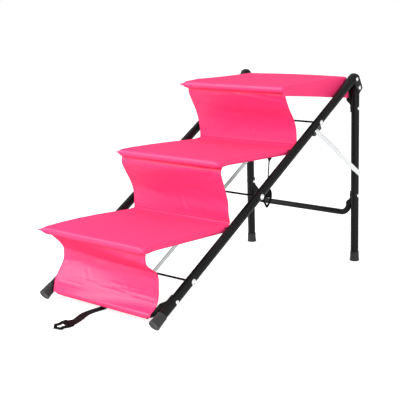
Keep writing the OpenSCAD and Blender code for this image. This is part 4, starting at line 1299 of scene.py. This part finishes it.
class StairsRisers(bpy.types.Operator):
    """Makes the three risers that hang from the noses to the cloth or the bar below"""
    bl_idname = "stairs.risers"
    bl_label = "Risers"

    def execute(self, context):
        s = cloth_settings()
        for n in (1, 2, 3):
            self.riser(n, s)
        return {"FINISHED"}

    def riser(self, n, s):
        """One riser, with its stitches. The lowest one starts with its sleeve round the front cross bar."""
        lowest = n == 1
        right, left = riser_lines(n)
        across, up = 97, 76 if lowest else 66
        shares = [lerp(-1, 1, j / (across - 1)) for j in range(across)]
        height = line_length(right)
        rows, uvs = bar_sleeve(shares) if lowest else ([], [])
        sleeve = rows[-1] if lowest else None
        for i in range(up):
            v = i / (up - 1)
            row = [riser_point(n, right, left, u, v) for u in shares]
            if lowest:
                row = [low.lerp(p, smooth(v / 0.05)) for low, p in zip(sleeve, row)]
            rows.append(row)
            uvs.append([(u * RISER_HALF, v * height) for u in shares])
        obj = cloth_piece(f"riser_cloth_{n}", rows, uvs,
                          lambda c: Vector((0, -1, 0)) if c.y < FRONT_BAR.y or n > 1 or c.z > 40 * MM else Vector(), s)
        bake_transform(obj)
        side = np.linspace(0.06 if lowest else 0.02, 0.985, 50)
        lines = [[riser_point(n, right, left, u, v) for v in side] for u in (-0.955, 0.955)]
        lines += [[riser_point(n, right, left, u, v) for u in np.linspace(-0.95, 0.95, 90)]
                  for v in (0.915, 0.075 if lowest else 0.03)]
        lines = [[p + Vector((0, -PROUD, 0)) for p in line] for line in lines]
        seams = stitched(f"riser_stitches_{n}", lines, s)
        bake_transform(seams)
        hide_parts(f"riser_{n}")


# ---------------------------------------------------------------- stage

def shown(tree):
    """1 for the rays that show the surroundings: the camera's own, and those off gloss and through glass."""
    ray = add_node(tree, "ShaderNodeLightPath")
    seen = ray.outputs["Is Camera Ray"]
    for kind in ("Is Glossy Ray", "Is Transmission Ray"):
        seen = add_node(tree, "ShaderNodeMath", {0: seen, 1: ray.outputs[kind]}, operation="MAXIMUM").outputs[0]
    return seen


class StairsStage(bpy.types.Operator):
    """Makes the pale floor, the soft lights and the white surroundings"""
    bl_idname = "stairs.stage"
    bl_label = "Stage"

    def execute(self, context):
        scene = context.scene
        scene.view_settings.view_transform = "Standard"
        self.floor(14.0)
        self.surroundings(scene)
        middle = Vector((0, 0, 0.25))
        # name, place, width in metres, power in watts
        for name, place, width, power in (("key light", (-1.6, -2.4, 1.75), 1.8, 96),
                                          ("fill light", (2.9, -1.2, 1.2), 1.8, 51),
                                          ("top light", (-0.5, 0.0, 3.0), 2.2, 8)):
            data = bpy.data.lights.new(name, "AREA")
            data.shape, data.size, data.energy = "DISK", width, power
            lamp = new_object(name, data)
            lamp.location = place
            lamp.rotation_euler = (middle - Vector(place)).to_track_quat("-Z", "Y").to_euler()
        return {"FINISHED"}

    def floor(self, size):
        """Plain white paper: seen by the camera it is lifted to white, and keeps the object's shadow."""
        floor = mesh_object("floor", [(-size, -size, 0), (size, -size, 0), (size, size, 0), (-size, size, 0)],
                            [(0, 1, 2, 3)])
        material, tree = new_material("white floor")
        finish(tree, "#D2D2D2", 0.9, Specular_IOR_Level=0.1)
        paper = tree.nodes["Principled BSDF"].outputs[0]
        glow = add_node(tree, "ShaderNodeEmission", {"Color": (1, 1, 1, 1), "Strength": 0.74})
        both = add_node(tree, "ShaderNodeAddShader", {0: paper, 1: glow.outputs[0]})
        mix = add_node(tree, "ShaderNodeMixShader", {0: shown(tree), 1: paper, 2: both.outputs[0]})
        feed(tree, tree.nodes["Material Output"], {"Surface": mix.outputs[0]})
        painted(floor, material)

    def surroundings(self, scene):
        """White where they are seen, and dimmer as a light."""
        world = bpy.data.worlds.new("studio")
        scene.world = world
        world.use_nodes = True
        tree = world.node_tree
        tree.nodes.clear()
        soft = add_node(tree, "ShaderNodeBackground", {"Color": (1, 1, 1, 1), "Strength": 0.6})
        white = add_node(tree, "ShaderNodeBackground", {"Color": (1, 1, 1, 1), "Strength": 1.0})
        mix = add_node(tree, "ShaderNodeMixShader", {0: shown(tree), 1: soft.outputs[0], 2: white.outputs[0]})
        add_node(tree, "ShaderNodeOutputWorld", {"Surface": mix.outputs[0]})


# ---------------------------------------------------------------- panel and run

class StairsPanel(bpy.types.Panel):
    """Lists the settings and the pieces"""
    bl_idname = "VIEW3D_PT_stairs"
    bl_label = "Folding pet stairs"
    bl_space_type = "VIEW_3D"
    bl_region_type = "UI"
    bl_category = "Pet stairs"

    def draw(self, context):
        layout = self.layout
        for name in SETTINGS:
            group = getattr(context.scene, name)
            box = layout.box()
            for size in group.__annotations__:
                box.prop(group, size)
        for step in STEPS:
            layout.operator(step.bl_idname)


SETTINGS = {"stairs_cloth": StairsClothSettings, "stairs_straps": StairsStrapSettings,
            "stairs_feet": StairsFootSettings}
STEPS = (StairsFinishes, StairsCamera, StairsStraps, StairsFeet, StairsWashers, StairsHingeCaps, StairsBarNecks,
         StairsCovers, StairsTopCover, StairsRisers, StairsStage)
CLASSES = tuple(SETTINGS.values()) + STEPS + (StairsPanel,)


def register():
    """Makes the settings, the operators and the panel known to Blender."""
    for kind in CLASSES:
        bpy.utils.register_class(kind)
    for name, kind in SETTINGS.items():
        setattr(bpy.types.Scene, name, bpy.props.PointerProperty(type=kind))


def unregister():
    """Takes them out again, in the other order."""
    for name in reversed(SETTINGS):
        delattr(bpy.types.Scene, name)
    for kind in reversed(CLASSES):
        bpy.utils.unregister_class(kind)


def main():
    """Makes every piece in order."""
    register()
    for step in STEPS:
        getattr(bpy.ops.stairs, step.bl_idname.split(".")[1])()
    bpy.context.view_layer.update()


if __name__ == "__main__":
    main()
